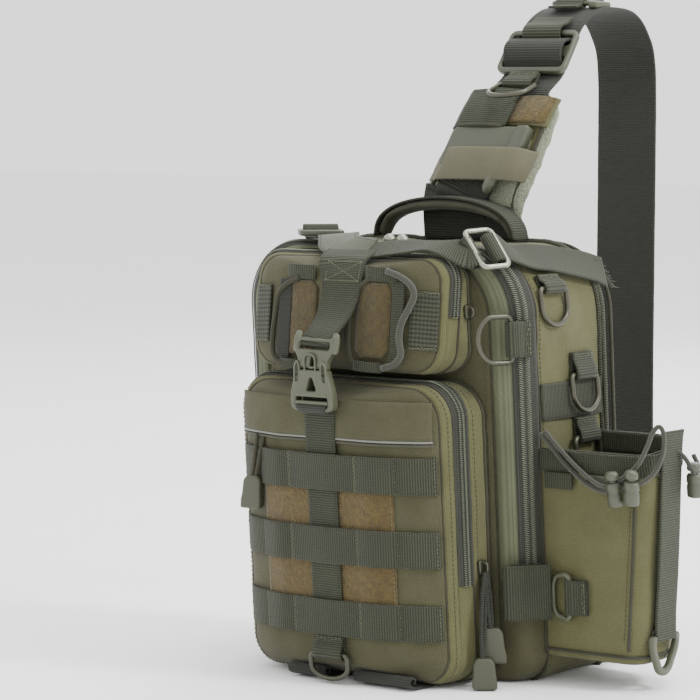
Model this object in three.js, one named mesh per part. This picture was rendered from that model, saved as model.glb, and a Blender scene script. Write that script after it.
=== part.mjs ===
// Fishing sling backpack, standing on its base. Millimetres, +Z up, front towards -Y.
// The origin is on the underside of the main body. Every shape is worked out upright, and
// the packed bag then leans forward as a whole.
import * as THREE from 'three';

// Stance and cloth
const LEAN = 0.072; // forward lean for each millimetre of height
const GAP = 0.3; // clearance between touching pieces
const CLOTH = 1.8; // wall of the cloth shells
const TAPE = 1.1; // zip tape with its teeth
const WEB = 1.6; // narrow webbing
const LOOP_CLOTH = 1; // hook-and-loop patches

// Main body
const BODY_HALF = 117;
const BODY_FRONT = -24;
const BODY_BULGE = 28; // how far the front corners lie behind the middle of the front
const BODY_BACK = 84;
const BODY_HIGH = 296;
const BODY_CORNER = 45; // top corners
const BODY_FOOT = 22; // bottom corners
const BODY_EDGE = 5; // rounding of the front edge
const PANEL_THICK = 13; // padded back panel
const PANEL_OVERHANG = 3;

// Lower pocket
const LOWER_HALF = 89.5;
const LOWER_FRONT = -80.8;
const LOWER_BULGE = 26;
const LOWER_LOW = 2.6;
const LOWER_HIGH = 207;
const LOWER_CORNER = 24;
const LOWER_FOOT = 20;
const LOWER_EDGE = 12;
const LOWER_ZIP_DEPTH = 17; // width of the zip band on the side wall

// Top pocket
const TOP_HALF = 82;
const TOP_FRONT = -67;
const TOP_BULGE = 17;
const POCKET_SPLIT = 6; // space between the two pockets
const TOP_LOW = LOWER_HIGH + POCKET_SPLIT;
const TOP_DROP = 5; // the pocket stays this far below the top of the body
const TOP_HIGH = BODY_HIGH - TOP_DROP;
const TOP_CORNER = 17;
const TOP_EDGE = 8;
const TOP_TILT = 0.167; // the face leans back for each millimetre of height
const TOP_ZIP_DEPTH = 12;

// Bottle pocket on the right side
const BOTTLE_WIDTH = 86; // at the mouth
const BOTTLE_TAPER = 0.86; // width at the foot as a share of the mouth
const BOTTLE_FRONT = 6;
const BOTTLE_BACK = 78;
const BOTTLE_LOW = 19;
const BOTTLE_HIGH = 161;
const BOTTLE_RISE = 7; // the back of the mouth is higher than the front
const BOTTLE_CORNER = 14; // front corner
const BOTTLE_TURN = 45; // wide back corner
const BOTTLE_INNER = 29; // the wall against the body is lower by this much
const BINDING = 20; // height of the binding round the mouth

// Webbing and hardware
const NARROW = 25; // standard webbing
const WIDE = 50; // shoulder webbing
const WIDE_THICK = 2.2;
const ROW_PITCH = 50;
const ROW_COUNT = 3;
const ROW_TOP = LOWER_HIGH - 48.2;
const ROW_TACK = 27.8; // spacing of the bar tacks
const ROW_END = 80;
const ROW_BULGE = 0.053; // rise of a webbing channel as a share of its span
const HOOK_HALF = 54.4;
const HOOK_HIGH = ROW_TOP - 23.8;
const HOOK_LOW = HOOK_HIGH - 80;
const WEB_TOP = LOWER_HIGH - 1;
const WIRE = 1.8; // radius of the ring wire
const RING_WIDTH = 31; // between the middles of the wire
const RING_DROP = 25;
const RING_SIDE = 0.35; // straight part of a ring's sides as a share of its drop
const BUCKLE_WIDTH = 36;
const BUCKLE_THICK = 7.6;
const BUCKLE_LOW = LOWER_HIGH - 19;
const BUCKLE_SPLIT = BUCKLE_LOW + 28;
const BUCKLE_HIGH = BUCKLE_SPLIT + 24;
const CORD = 2; // radius of the shock cord

// Grab handle
const HANDLE_X = 5;
const HANDLE_HALF = 55;
const HANDLE_RISE = 27;
const HANDLE_FOOT = 3;
const HANDLE_WIDTH = 24;
const HANDLE_THICK = 7;
const HANDLE_DEPTH = 69;

// Shoulder strap
const PAD_WIDTH = 92;
const PAD_THICK = 10;
const PAD_RISE = 101.4; // from the top of the body to the end of the pad
const PAD_BACK = 34.5; // how far the end of the pad lies behind its foot
const STRAP_X = 38; // centre of the hanging webbing
const STRAP_SHIFT = 28; // how far its foot is set to the right
const STRAP_RISE = 62.5; // from the end of the pad to the top of the strap
const STRAP_REACH = 160; // from the back panel to the furthest point of the strap

// Shares of the half width, of the bulge and of the edge rounding, from the middle outwards
const POCKET_ROWS = [
  { width: 0.37, depth: 0, inset: 1 },
  { width: 0.59, depth: 0.156, inset: 0.8 },
  { width: 0.75, depth: 0.37, inset: 0.55 },
  { width: 0.895, depth: 0.685, inset: 0.25 },
  { width: 0.979, depth: 1, inset: 0.05 },
];
const BODY_ROWS = [
  { width: 0.51, depth: 0, inset: 1 },
  { width: 0.786, depth: 0.286, inset: 0.66 },
  { width: 0.906, depth: 0.43, inset: 0.4 },
  { width: 0.969, depth: 0.68, inset: 0 },
  { width: 0.995, depth: 1, inset: 0 },
];

const CORNER_STEPS = 5;
const EDGE_STOP = BODY_HALF * BODY_ROWS[0].width; // where the front of the body starts to curve
const EDGE_SHARE = 0.96;

const body = {
  half: BODY_HALF,
  front: BODY_FRONT,
  bulge: BODY_BULGE,
  low: 0,
  high: BODY_HIGH,
  corner: BODY_CORNER,
  foot: BODY_FOOT,
  edge: BODY_EDGE,
  tilt: 0,
  rows: BODY_ROWS,
};
const lower = {
  half: LOWER_HALF,
  front: LOWER_FRONT,
  bulge: LOWER_BULGE,
  low: LOWER_LOW,
  high: LOWER_HIGH,
  corner: LOWER_CORNER,
  foot: LOWER_FOOT,
  edge: LOWER_EDGE,
  tilt: 0,
  zip: LOWER_ZIP_DEPTH,
  rows: POCKET_ROWS,
};
const upper = {
  half: TOP_HALF,
  front: TOP_FRONT,
  bulge: TOP_BULGE,
  low: TOP_LOW,
  high: TOP_HIGH,
  corner: TOP_CORNER,
  foot: TOP_CORNER,
  edge: TOP_EDGE,
  tilt: TOP_TILT,
  zip: TOP_ZIP_DEPTH,
  rows: POCKET_ROWS,
};

const { lerp, degToRad } = THREE.MathUtils;
const point = (x, y, z) => new THREE.Vector3(x, y, z);

// A closed solid from points and triangles, turned so that its faces point out
function solid(points, triangles) {
  const across = new THREE.Vector3();
  let volume = 0;
  for (const [a, b, c] of triangles) {
    volume += points[a].dot(across.crossVectors(points[b], points[c]));
  }
  const faces = volume < 0 ? triangles.map(([a, b, c]) => [a, c, b]) : triangles;
  const geometry = new THREE.BufferGeometry().setFromPoints(points);
  geometry.setIndex(faces.flat());
  geometry.computeVertexNormals();
  return geometry;
}

// A skin through loops of equal count, with both ends filled or joined into a ring
function loft(loops, closed = false) {
  const count = loops[0].length;
  const points = loops.flat();
  const triangles = [];
  const bands = closed ? loops.length : loops.length - 1;
  for (let i = 0; i < bands; i += 1) {
    const here = i * count;
    const there = ((i + 1) % loops.length) * count;
    for (let j = 0; j < count; j += 1) {
      const k = (j + 1) % count;
      triangles.push([here + j, here + k, there + k], [here + j, there + k, there + j]);
    }
  }
  if (!closed) {
    const last = (loops.length - 1) * count;
    for (const first of [0, last]) {
      const centre = new THREE.Vector3();
      const loop = points.slice(first, first + count);
      loop.forEach((corner) => centre.addScaledVector(corner, 1 / count));
      const middle = points.push(centre) - 1;
      for (let j = 0; j < count; j += 1) {
        const k = (j + 1) % count;
        triangles.push(first === 0 ? [middle, k, j] : [middle, first + j, first + k]);
      }
    }
  }
  return solid(points, triangles);
}

// A sheet with thickness, from its two faces as grids of points
function thickSheet(inner, outer) {
  const rows = inner.length;
  const columns = inner[0].length;
  const points = [...inner.flat(), ...outer.flat()];
  const triangles = [];
  const at = (side, i, j) => side * rows * columns + i * columns + j;
  const quad = (a, b, c, d) => triangles.push([a, b, c], [a, c, d]);
  const endRow = rows - 1;
  const endColumn = columns - 1;
  for (let i = 0; i < endRow; i += 1) {
    for (let j = 0; j < endColumn; j += 1) {
      quad(at(1, i, j), at(1, i + 1, j), at(1, i + 1, j + 1), at(1, i, j + 1));
      quad(at(0, i, j), at(0, i, j + 1), at(0, i + 1, j + 1), at(0, i + 1, j));
    }
    quad(at(0, i, 0), at(0, i + 1, 0), at(1, i + 1, 0), at(1, i, 0));
    quad(at(0, i + 1, endColumn), at(0, i, endColumn), at(1, i, endColumn), at(1, i + 1, endColumn));
  }
  for (let j = 0; j < endColumn; j += 1) {
    quad(at(0, 0, j + 1), at(0, 0, j), at(1, 0, j), at(1, 0, j + 1));
    quad(at(0, endRow, j), at(0, endRow, j + 1), at(1, endRow, j + 1), at(1, endRow, j));
  }
  return solid(points, triangles);
}

// A rounded outline seen from the front; depth gives y for each x and z
function outline(half, low, high, corner, foot, depth) {
  const corners = [
    [half - corner, high - corner, corner],
    [corner - half, high - corner, corner],
    [foot - half, low + foot, foot],
    [half - foot, low + foot, foot],
  ];
  const loop = [];
  const push = (x, z) => loop.push(point(x, depth(x, z), z));
  const stop = (radius) => Math.min(EDGE_STOP, EDGE_SHARE * (half - radius));
  corners.forEach(([centreX, centreZ, radius], quarter) => {
    for (let k = 0; k <= CORNER_STEPS; k += 1) {
      const angle = degToRad(90) * (quarter + k / CORNER_STEPS);
      push(centreX + radius * Math.cos(angle), centreZ + radius * Math.sin(angle));
    }
    if (quarter === 0) {
      push(stop(radius), high);
      push(-stop(radius), high);
    }
    if (quarter === 2) {
      push(-stop(radius), low);
      push(stop(radius), low);
    }
  });
  return loop;
}

// The outline of a bag at one row of its front, grown outwards by a margin
function rowOutline(bag, row, grow = 0) {
  const inset = bag.edge * row.inset - grow;
  const push = grow * (1 - row.depth);
  return outline(
    bag.half * row.width + grow,
    bag.low + inset,
    bag.high - inset,
    bag.corner,
    bag.foot,
    (x, z) => bag.front - push + bag.bulge * row.depth + bag.tilt * (z - bag.low),
  );
}

// The depth of a bag's face at x and z
function faceAt(bag, x, z = bag.low) {
  const share = Math.abs(x) / bag.half;
  let depth = 0;
  for (let i = 1; i < bag.rows.length; i += 1) {
    const near = bag.rows[i - 1];
    const far = bag.rows[i];
    if (share > near.width) {
      const part = Math.min(1, (share - near.width) / (far.width - near.width));
      depth = lerp(near.depth, far.depth, part);
    }
  }
  return bag.front + bag.bulge * depth + bag.tilt * (z - bag.low);
}

// The outline of a bag's side wall at a depth that may change from point to point
function wallOutline(bag, grow, depth) {
  return outline(bag.half + grow, bag.low - grow, bag.high + grow, bag.corner, bag.foot, depth);
}

const lastRow = (bag) => bag.rows[bag.rows.length - 1];
const sideStart = (bag, z) => faceAt(bag, bag.half, z);
const zipEnd = (bag) => (x, z) => sideStart(bag, z) + bag.zip;
const seat = (x) => faceAt(body, x) - GAP;

// A cloth shell, open at the back
function shell(bag, rear, middle = []) {
  const inner = { ...bag, half: bag.half - CLOTH, front: bag.front + CLOTH };
  inner.low = bag.low + CLOTH;
  inner.high = bag.high - CLOTH;
  const skin = (part, grow) => [
    ...bag.rows.map((row) => rowOutline(part, row)),
    ...middle.map((depth) => wallOutline(bag, grow, depth)),
    wallOutline(bag, grow, rear),
  ];
  return loft([...skin(bag, 0), ...skin(inner, -CLOTH).reverse()]);
}

// A band of zip tape that follows a bag's outline from one foot, over the top, to the other
function zipBand(bag, columns, startHeight) {
  const whole = columns.map(({ row, depth, grow }) => ({
    inner: row ? rowOutline(bag, row, grow) : wallOutline(bag, grow, depth),
    outer: row ? rowOutline(bag, row, grow + TAPE) : wallOutline(bag, grow + TAPE, depth),
  }));
  const count = 2 * (CORNER_STEPS + 2);
  const strip = (loop) => {
    const arch = loop.slice(0, count);
    const foot = (corner) => point(corner.x, corner.y - bag.tilt * (corner.z - startHeight), startHeight);
    return [foot(arch[0]), ...arch, foot(arch[count - 1])];
  };
  return thickSheet(
    whole.map(({ inner }) => strip(inner)),
    whole.map(({ outer }) => strip(outer)),
  );
}

// The places where a bag's face folds between two values of x
function folds(bag, from, to) {
  const all = bag.rows.flatMap(({ width }) => [-width * bag.half, width * bag.half]);
  const inside = all.filter((x) => x > from + GAP && x < to - GAP);
  return [from, ...inside.sort((a, b) => a - b), to];
}

// A flat piece lying on a bag's face
function facePanel(bag, { left, right, low, high, lift = GAP, thick = WEB }) {
  const across = folds(bag, left, right);
  const face = (out) => [low, high].map((z) => across.map((x) => point(x, faceAt(bag, x, z) - out, z)));
  return thickSheet(face(lift), face(lift + thick));
}

// A row of webbing that rises between its bar tacks
function webbingRow(top) {
  const tacks = [-ROW_END, -2 * ROW_TACK, -ROW_TACK, ROW_TACK, 2 * ROW_TACK, ROW_END];
  const stops = [-NARROW / 2 - GAP, 0, NARROW / 2 + GAP];
  for (let i = 1; i < tacks.length; i += 1) {
    stops.push(tacks[i], (tacks[i] + tacks[i - 1]) / 2);
  }
  const across = [...new Set([...folds(lower, -ROW_END, ROW_END), ...stops])].sort((a, b) => a - b);
  const onPatch = 2 * GAP + LOOP_CLOTH;
  const lift = (x) => {
    const next = Math.max(1, tacks.findIndex((tack) => tack >= x));
    const span = tacks[next] - tacks[next - 1];
    const rise = ROW_BULGE * span * Math.sin((Math.PI * (x - tacks[next - 1])) / span);
    return rise + (Math.abs(x) <= 2 * ROW_TACK ? onPatch : GAP);
  };
  const face = (out) => [top - NARROW, top].map((z) =>
    across.map((x) => point(x, faceAt(lower, x) - lift(x) - out, z)));
  return thickSheet(face(0), face(WEB));
}

// A strap between two edges given as points, thickened to both sides
function strapBetween(edgeA, edgeB, thick) {
  const inner = [[], []];
  const outer = [[], []];
  edgeA.forEach((start, i) => {
    const before = Math.max(0, i - 1);
    const after = Math.min(edgeA.length - 1, i + 1);
    const along = edgeA[after].clone().sub(edgeA[before]).add(edgeB[after]).sub(edgeB[before]);
    const across = edgeB[i].clone().sub(start);
    const normal = along.cross(across).setLength(thick / 2);
    [start, edgeB[i]].forEach((corner, side) => {
      inner[side].push(corner.clone().sub(normal));
      outer[side].push(corner.clone().add(normal));
    });
  });
  return thickSheet(inner, outer);
}

// A ribbon that runs through points and keeps its width along X; each point may set its width
function ribbon(centres, width, thick) {
  const edge = (side) => centres.map(([x, y, z, own = width]) => point(x + (side * own) / 2, y, z));
  return strapBetween(edge(-1), edge(1), thick);
}

// Evenly spaced points along a smooth curve through a few chosen points
function smooth(points, steps) {
  const curve = new THREE.CatmullRomCurve3(points.map(([x, y, z]) => point(x, y, z)), false, 'centripetal');
  return curve.getSpacedPoints(steps).map((p) => [p.x, p.y, p.z]);
}

// A closed ring of round wire through flat corners, given in the plane of two directions
function wireRing(path, centre, right, up, radius = WIRE, sides = 6) {
  const facing = right.clone().cross(up).normalize();
  const flat = path.map(([u, v]) => centre.clone().addScaledVector(right, u).addScaledVector(up, v));
  const loops = flat.map((corner, i) => {
    const before = flat[(i + flat.length - 1) % flat.length];
    const after = flat[(i + 1) % flat.length];
    const along = after.clone().sub(before).normalize();
    const side = along.cross(facing);
    const loop = [];
    for (let k = 0; k < sides; k += 1) {
      const angle = (2 * Math.PI * k) / sides;
      loop.push(corner.clone()
        .addScaledVector(facing, radius * Math.cos(angle))
        .addScaledVector(side, radius * Math.sin(angle)));
    }
    return loop;
  });
  return loft(loops, true);
}

// A tube of round section along a smooth route
function tube(route, radius, steps) {
  const curve = new THREE.CatmullRomCurve3(route.map(([x, y, z]) => point(x, y, z)), false, 'centripetal');
  const section = new THREE.Shape();
  section.absarc(0, 0, radius, 0, 2 * Math.PI, false);
  const settings = { steps, extrudePath: curve, bevelEnabled: false, curveSegments: 4 };
  return new THREE.ExtrudeGeometry(section, settings);
}

// The path of a D ring: a straight bar on top, a half round below
const RING_STEPS = 8;
function dPath(width, drop) {
  const half = width / 2;
  const side = drop * RING_SIDE;
  const path = [[half - WIRE, 0], [half, -WIRE]];
  for (let k = 0; k <= RING_STEPS; k += 1) {
    const angle = (Math.PI * k) / RING_STEPS;
    path.push([half * Math.cos(angle), -side - (drop - side) * Math.sin(angle)]);
  }
  path.push([-half, -WIRE], [WIRE - half, 0]);
  return path;
}

// A strip of webbing folded round the bar of a ring, in its own frame:
// u runs from the bar along the seat, v stands off the seat, the width runs along the bar
function foldProfile(tail, radius, thick) {
  const middle = thick / 2;
  const hub = radius + thick;
  const path = [[tail, middle], [radius, middle]];
  const steps = 6;
  for (let k = 0; k <= steps; k += 1) {
    const angle = degToRad(-90) - (Math.PI * k) / steps;
    path.push([(radius + middle) * Math.cos(angle), hub + (radius + middle) * Math.sin(angle)]);
  }
  const over = thick + middle + GAP;
  path.push([tail * 0.8, over], [tail, over]);
  return path;
}

// A band of even thickness along a flat path, extruded across its width
function band(path, thick, width) {
  const side = (sign) => path.map(([u, v], i) => {
    const before = path[Math.max(0, i - 1)];
    const after = path[Math.min(path.length - 1, i + 1)];
    const length = Math.hypot(after[0] - before[0], after[1] - before[1]);
    const offset = (sign * thick) / 2 / length;
    return new THREE.Vector2(u - (after[1] - before[1]) * offset, v + (after[0] - before[0]) * offset);
  });
  const shape = new THREE.Shape([...side(1), ...side(-1).reverse()]);
  const geometry = new THREE.ExtrudeGeometry(shape, { depth: width, bevelEnabled: false });
  return geometry.translate(0, 0, -width / 2);
}

// A rectangle with round corners as a shape or a hole
function roundedRect(width, height, radius, centreX = 0, centreY = 0, kind = THREE.Shape) {
  const path = new kind();
  const [left, right] = [centreX - width / 2, centreX + width / 2];
  const [low, high] = [centreY - height / 2, centreY + height / 2];
  path.moveTo(right, low + radius);
  path.lineTo(right, high - radius);
  path.absarc(right - radius, high - radius, radius, 0, Math.PI / 2, false);
  path.lineTo(left + radius, high);
  path.absarc(left + radius, high - radius, radius, Math.PI / 2, Math.PI, false);
  path.lineTo(left, low + radius);
  path.absarc(left + radius, low + radius, radius, Math.PI, 1.5 * Math.PI, false);
  path.lineTo(right - radius, low);
  path.absarc(right - radius, low + radius, radius, 1.5 * Math.PI, 2 * Math.PI, false);
  return path;
}

// A flat frame with slots; each slot is [width, height, centreX, centreY]
function slotted(width, height, radius, thick, slots) {
  const shape = roundedRect(width, height, radius);
  for (const [slotWidth, slotHeight, x, y] of slots) {
    shape.holes.push(roundedRect(slotWidth, slotHeight, 1, x, y, THREE.Path));
  }
  const settings = { depth: thick, bevelEnabled: false, curveSegments: 3 };
  return new THREE.ExtrudeGeometry(shape, settings).translate(0, 0, -thick / 2);
}

// Puts a geometry made in its own frame at a place, by the directions of its three axes
function put(geometry, place, right, up, out) {
  const basis = new THREE.Matrix4().makeBasis(right, up, out).setPosition(place);
  return geometry.applyMatrix4(basis);
}

const X = point(1, 0, 0);
const Y = point(0, 1, 0);
const Z = point(0, 0, 1);
const minus = (axis) => axis.clone().negate();

// Materials
const looks = {
  cloth: { color: 0x736c50, roughness: 0.9, metalness: 0 },
  webbing: { color: 0x555c4b, roughness: 0.85, metalness: 0 },
  darkWebbing: { color: 0x44463c, roughness: 0.85, metalness: 0 },
  tape: { color: 0x7d8776, roughness: 0.7, metalness: 0 },
  tan: { color: 0x826946, roughness: 1, metalness: 0 },
  plastic: { color: 0x696e5c, roughness: 0.45, metalness: 0 },
  metal: { color: 0x8a8f7c, roughness: 0.35, metalness: 0.6 },
  pad: { color: 0x4e5144, roughness: 0.95, metalness: 0 },
};

const backpack = new THREE.Group();
const leaning = new THREE.Matrix4().makeShear(0, 0, 0, 0, 0, -LEAN);

function add(name, geometry, look) {
  const mesh = new THREE.Mesh(geometry.applyMatrix4(leaning), new THREE.MeshStandardMaterial(looks[look]));
  mesh.name = name;
  backpack.add(mesh);
}

// Heights at which the zips start
const MAIN_ZIP_START = 85;
const LOWER_ZIP_START = 75;
const TOP_ZIP_START = TOP_HIGH - 41;

// Main body, its zip and the padded back
add('main_body', shell(body, () => BODY_BACK), 'cloth');

function backPanel() {
  const start = BODY_BACK + GAP;
  const rows = [
    { out: 0, depth: 0 },
    { out: PANEL_OVERHANG, depth: 0.25 },
    { out: PANEL_OVERHANG, depth: 0.75 },
    { out: 0, depth: 1 },
  ];
  return loft(rows.map(({ out, depth }) => outline(
    BODY_HALF + out,
    0,
    BODY_HIGH + out - PANEL_OVERHANG,
    BODY_CORNER,
    BODY_FOOT,
    () => start + PANEL_THICK * depth,
  )));
}
add('back_panel', backPanel(), 'pad');

add('main_zipper', zipBand(body, [
  { row: BODY_ROWS[2], grow: 2 * GAP },
  { row: BODY_ROWS[3], grow: 2 * GAP },
  { row: BODY_ROWS[4], grow: 2 * GAP },
], MAIN_ZIP_START), 'tape');

// Pockets on the front
add('lower_pocket', shell(lower, seat, [zipEnd(lower)]), 'cloth');
add('top_pocket', shell(upper, seat, [zipEnd(upper)]), 'cloth');
add('lower_zipper', zipBand(lower, [
  { row: lastRow(lower), grow: 2 * GAP },
  { depth: zipEnd(lower), grow: 2 * GAP },
], LOWER_ZIP_START), 'tape');
add('top_zipper', zipBand(upper, [
  { row: lastRow(upper), grow: 2 * GAP },
  { depth: zipEnd(upper), grow: 2 * GAP },
], TOP_ZIP_START), 'tape');

// Webbing, patches and ring on the lower pocket
const PATCH_LIFT = 2 * GAP + LOOP_CLOTH;
const ROW_FOOT = ROW_TOP - (ROW_COUNT - 1) * ROW_PITCH - NARROW;
const wide = { left: -NARROW / 2, right: NARROW / 2 };
const patchArea = { left: -HOOK_HALF, right: HOOK_HALF, low: HOOK_LOW, high: HOOK_HIGH, thick: LOOP_CLOTH };
add('hook_panel', facePanel(lower, patchArea), 'tan');
add('centre_webbing', facePanel(lower, { ...wide, low: ROW_FOOT, high: WEB_TOP, lift: PATCH_LIFT }), 'webbing');
for (let i = 0; i < ROW_COUNT; i += 1) {
  add(`molle_row_${i + 1}`, webbingRow(ROW_TOP - i * ROW_PITCH), 'webbing');
}

// A ring in its sewn loop: the bar lies at the place, u points along the sewn tail and
// v stands off the seat; swing turns the hanging ring away from the seat
function ringInLoop(names, place, u, v, options = {}) {
  const { tail = 15, ring = dPath(RING_WIDTH, RING_DROP), swing = 0 } = options;
  const along = u.clone().cross(v);
  const radius = WIRE + GAP;
  const loop = band(foldProfile(tail, radius, WEB), WEB, NARROW - 1);
  add(names[1], put(loop, place.clone().addScaledVector(v, GAP), u, v, along), 'webbing');
  const bar = place.clone().addScaledVector(v, GAP + WEB + radius);
  const hang = u.clone().multiplyScalar(Math.cos(swing)).addScaledVector(v, -Math.sin(swing));
  add(names[0], wireRing(ring, bar, along, hang), 'metal');
}

const BOTTOM_TAIL = 13;
const BOTTOM_DROP = 17;
ringInLoop(
  ['bottom_d_ring', 'bottom_ring_loop'],
  point(0, LOWER_FRONT, ROW_FOOT - GAP - BOTTOM_TAIL),
  Z,
  minus(Y),
  { tail: BOTTOM_TAIL, ring: dPath(RING_WIDTH, BOTTOM_DROP) },
);

// Fastened buckle on the centre webbing
const BUCKLE_Y = LOWER_FRONT - PATCH_LIFT - WEB - GAP - BUCKLE_THICK / 2;
const SLOT = 5;
const BUCKLE_BAR = 3.5;
function buckleHalf(low, high, slotSide) {
  const height = high - low;
  const slotY = slotSide * (height / 2 - BUCKLE_BAR - SLOT / 2);
  const slot = [NARROW + 1, SLOT, 0, slotY];
  const plate = slotted(BUCKLE_WIDTH, height, SLOT, BUCKLE_THICK, [slot]);
  return put(plate, point(0, BUCKLE_Y, (low + high) / 2), X, Z, minus(Y));
}
add('buckle_socket', buckleHalf(BUCKLE_LOW, BUCKLE_SPLIT, -1), 'plastic');
add('buckle_plug', buckleHalf(BUCKLE_SPLIT + GAP, BUCKLE_HIGH, 1), 'plastic');

// Straps that close the top pocket: a stem from the buckle, and two branches over the top
const STEM_BACK = BUCKLE_Y + BUCKLE_THICK / 2 + GAP + WEB / 2;
const topEdge = (row, out) => {
  const z = TOP_HIGH - TOP_EDGE * row.inset;
  const y = TOP_FRONT + TOP_BULGE * row.depth + TOP_TILT * (z - TOP_LOW);
  return [0, y - out * (1 - row.depth), z + out * row.depth];
};
const STEM_LIFT = 4;
const STEM_SPREAD = 38; // width of the stem where it meets the branches
const stem = [
  [0, STEM_BACK, BUCKLE_SPLIT + GAP],
  [0, STEM_BACK + 1, BUCKLE_HIGH],
  [0, TOP_FRONT + 4, BUCKLE_HIGH + 18],
  [...topEdge(POCKET_ROWS[0], 2 * GAP + WEB), NARROW + 4],
  [...topEdge(POCKET_ROWS[2], STEM_LIFT), STEM_SPREAD],
  [...topEdge(POCKET_ROWS[4], STEM_LIFT), STEM_SPREAD],
];
add('y_strap_stem', ribbon(stem, NARROW, WEB), 'webbing');

// A place over the top: steps to the right, back from the front face and up from the body
const overTop = ([right, back, up]) => point(right, BODY_FRONT + back, BODY_HIGH + up);
const leftBranch = {
  front: [[-21, -20, -4.6], [-36, -2, 2.6], [-62, 28, 3.8]],
  rear: [[-20, -10, 4.6], [-22, 10, 6.2], [-44, 44, 3.8]],
};
add('y_strap_left', strapBetween(
  leftBranch.front.map(overTop),
  leftBranch.rear.map(overTop),
  WEB,
), 'webbing');

// Rectangular ring at the top right corner, between the right branch and its tail
const RECT_LONG = 33;
const RECT_SHORT = 19.6;
const rectPath = (long, short, cut) => [
  [long / 2 - cut, 0],
  [long / 2, -cut],
  [long / 2, cut - short],
  [long / 2 - cut, -short],
  [cut - long / 2, -short],
  [-long / 2, cut - short],
  [-long / 2, -cut],
  [cut - long / 2, 0],
];
const RECT_IN = 30; // from the body's side to the middle of the ring's bar
const RECT_X = BODY_HALF - RECT_IN;
const rectPlace = overTop([RECT_X, 4, -1.5]);
const rectBar = point(0.66, -0.3, -0.69).normalize();
const rectAlong = point(-0.357, -0.918, -0.18);
rectAlong.addScaledVector(rectBar, -rectAlong.dot(rectBar)).normalize();
add('rect_ring', wireRing(rectPath(RECT_LONG, RECT_SHORT, 3), rectPlace, rectBar, rectAlong), 'metal');
const besideBar = (side, forward) => rectPlace.clone()
  .addScaledVector(rectBar, (side * NARROW) / 2)
  .addScaledVector(rectAlong, forward);
const BAR_REACH = WIRE + 2 * GAP;
const BRANCH_NEAR = 0.523; // shares of the way out to the ring
const BRANCH_FAR = 0.747;
const rightBranch = {
  front: [[20.5, -25, -6.4], [RECT_X * BRANCH_NEAR, -21, -3.2], [RECT_X * BRANCH_FAR, -15, -1.6]],
  rear: [[20.5, -9, 2.6], [RECT_X * BRANCH_NEAR, -2, 4], [RECT_X * BRANCH_FAR, 2, 3.4]],
};
add('y_strap_right', strapBetween(
  [...rightBranch.front.map(overTop), besideBar(1, BAR_REACH)],
  [...rightBranch.rear.map(overTop), besideBar(-1, BAR_REACH)],
  WEB,
), 'webbing');
const TAIL_LIFT = 4.6;
const onCorner = (angle, y) => point(
  BODY_HALF - BODY_CORNER + (BODY_CORNER + TAIL_LIFT) * Math.cos(degToRad(angle)),
  y,
  BODY_HIGH - BODY_CORNER + (BODY_CORNER + TAIL_LIFT) * Math.sin(degToRad(angle)),
);
const TAIL_SPAN = { low: 38, high: 70 }; // degrees round the corner
const tailStops = [18, 60, BODY_BACK + PANEL_THICK - 1];
const tailEdge = (side, angle) => [
  besideBar(side, -RECT_SHORT - BAR_REACH),
  ...tailStops.map((y) => onCorner(angle, y)),
];
add('y_strap_tail', strapBetween(tailEdge(1, TAIL_SPAN.low), tailEdge(-1, TAIL_SPAN.high), WEB), 'webbing');

// Grab handle
const HANDLE_STEPS = 16;
function handle() {
  const edge = (side) => {
    const y = HANDLE_DEPTH + (side * HANDLE_WIDTH) / 2;
    const start = BODY_HIGH + GAP;
    const line = [point(HANDLE_X + HANDLE_HALF, y, start)];
    for (let k = 0; k <= HANDLE_STEPS; k += 1) {
      const angle = (Math.PI * k) / HANDLE_STEPS;
      const rise = start + HANDLE_FOOT + (HANDLE_RISE - HANDLE_FOOT) * Math.sin(angle);
      line.push(point(HANDLE_X + HANDLE_HALF * Math.cos(angle), y, rise));
    }
    return [...line, point(HANDLE_X - HANDLE_HALF, y, start)];
  };
  return strapBetween(edge(-1), edge(1), HANDLE_THICK);
}
add('handle', handle(), 'pad');

// Patches, mesh webbing and shock cord on the top pocket
const TOP_PATCH = { near: 17, far: 44, low: TOP_LOW + 15, high: TOP_HIGH - 19 };
const TOP_WEB = { near: 58, far: TOP_HALF - 4, low: TOP_LOW + 17, high: TOP_HIGH - 22 };
const CORD_X = 51;
for (const [side, name] of [[-1, 'left'], [1, 'right']]) {
  const span = ({ near, far, low, high }) => ({
    left: Math.min(side * near, side * far),
    right: Math.max(side * near, side * far),
    low,
    high,
  });
  add(`patch_top_${name}`, facePanel(upper, { ...span(TOP_PATCH), thick: LOOP_CLOTH }), 'tan');
  add(`web_top_${name}`, facePanel(upper, span(TOP_WEB)), 'webbing');
  const route = [
    [CORD_X - 5, TOP_PATCH.high + 8],
    [CORD_X, TOP_PATCH.high],
    [CORD_X + 2, (TOP_PATCH.high + TOP_PATCH.low) / 2],
    [CORD_X, TOP_PATCH.low],
    [CORD_X - 5, TOP_PATCH.low - 7],
  ].map(([x, z]) => [side * x, faceAt(upper, side * (CORD_X - 3), z) - CORD - GAP, z]);
  add(`cord_top_${name}`, tube(route, CORD, 12), 'plastic');
}

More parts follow.
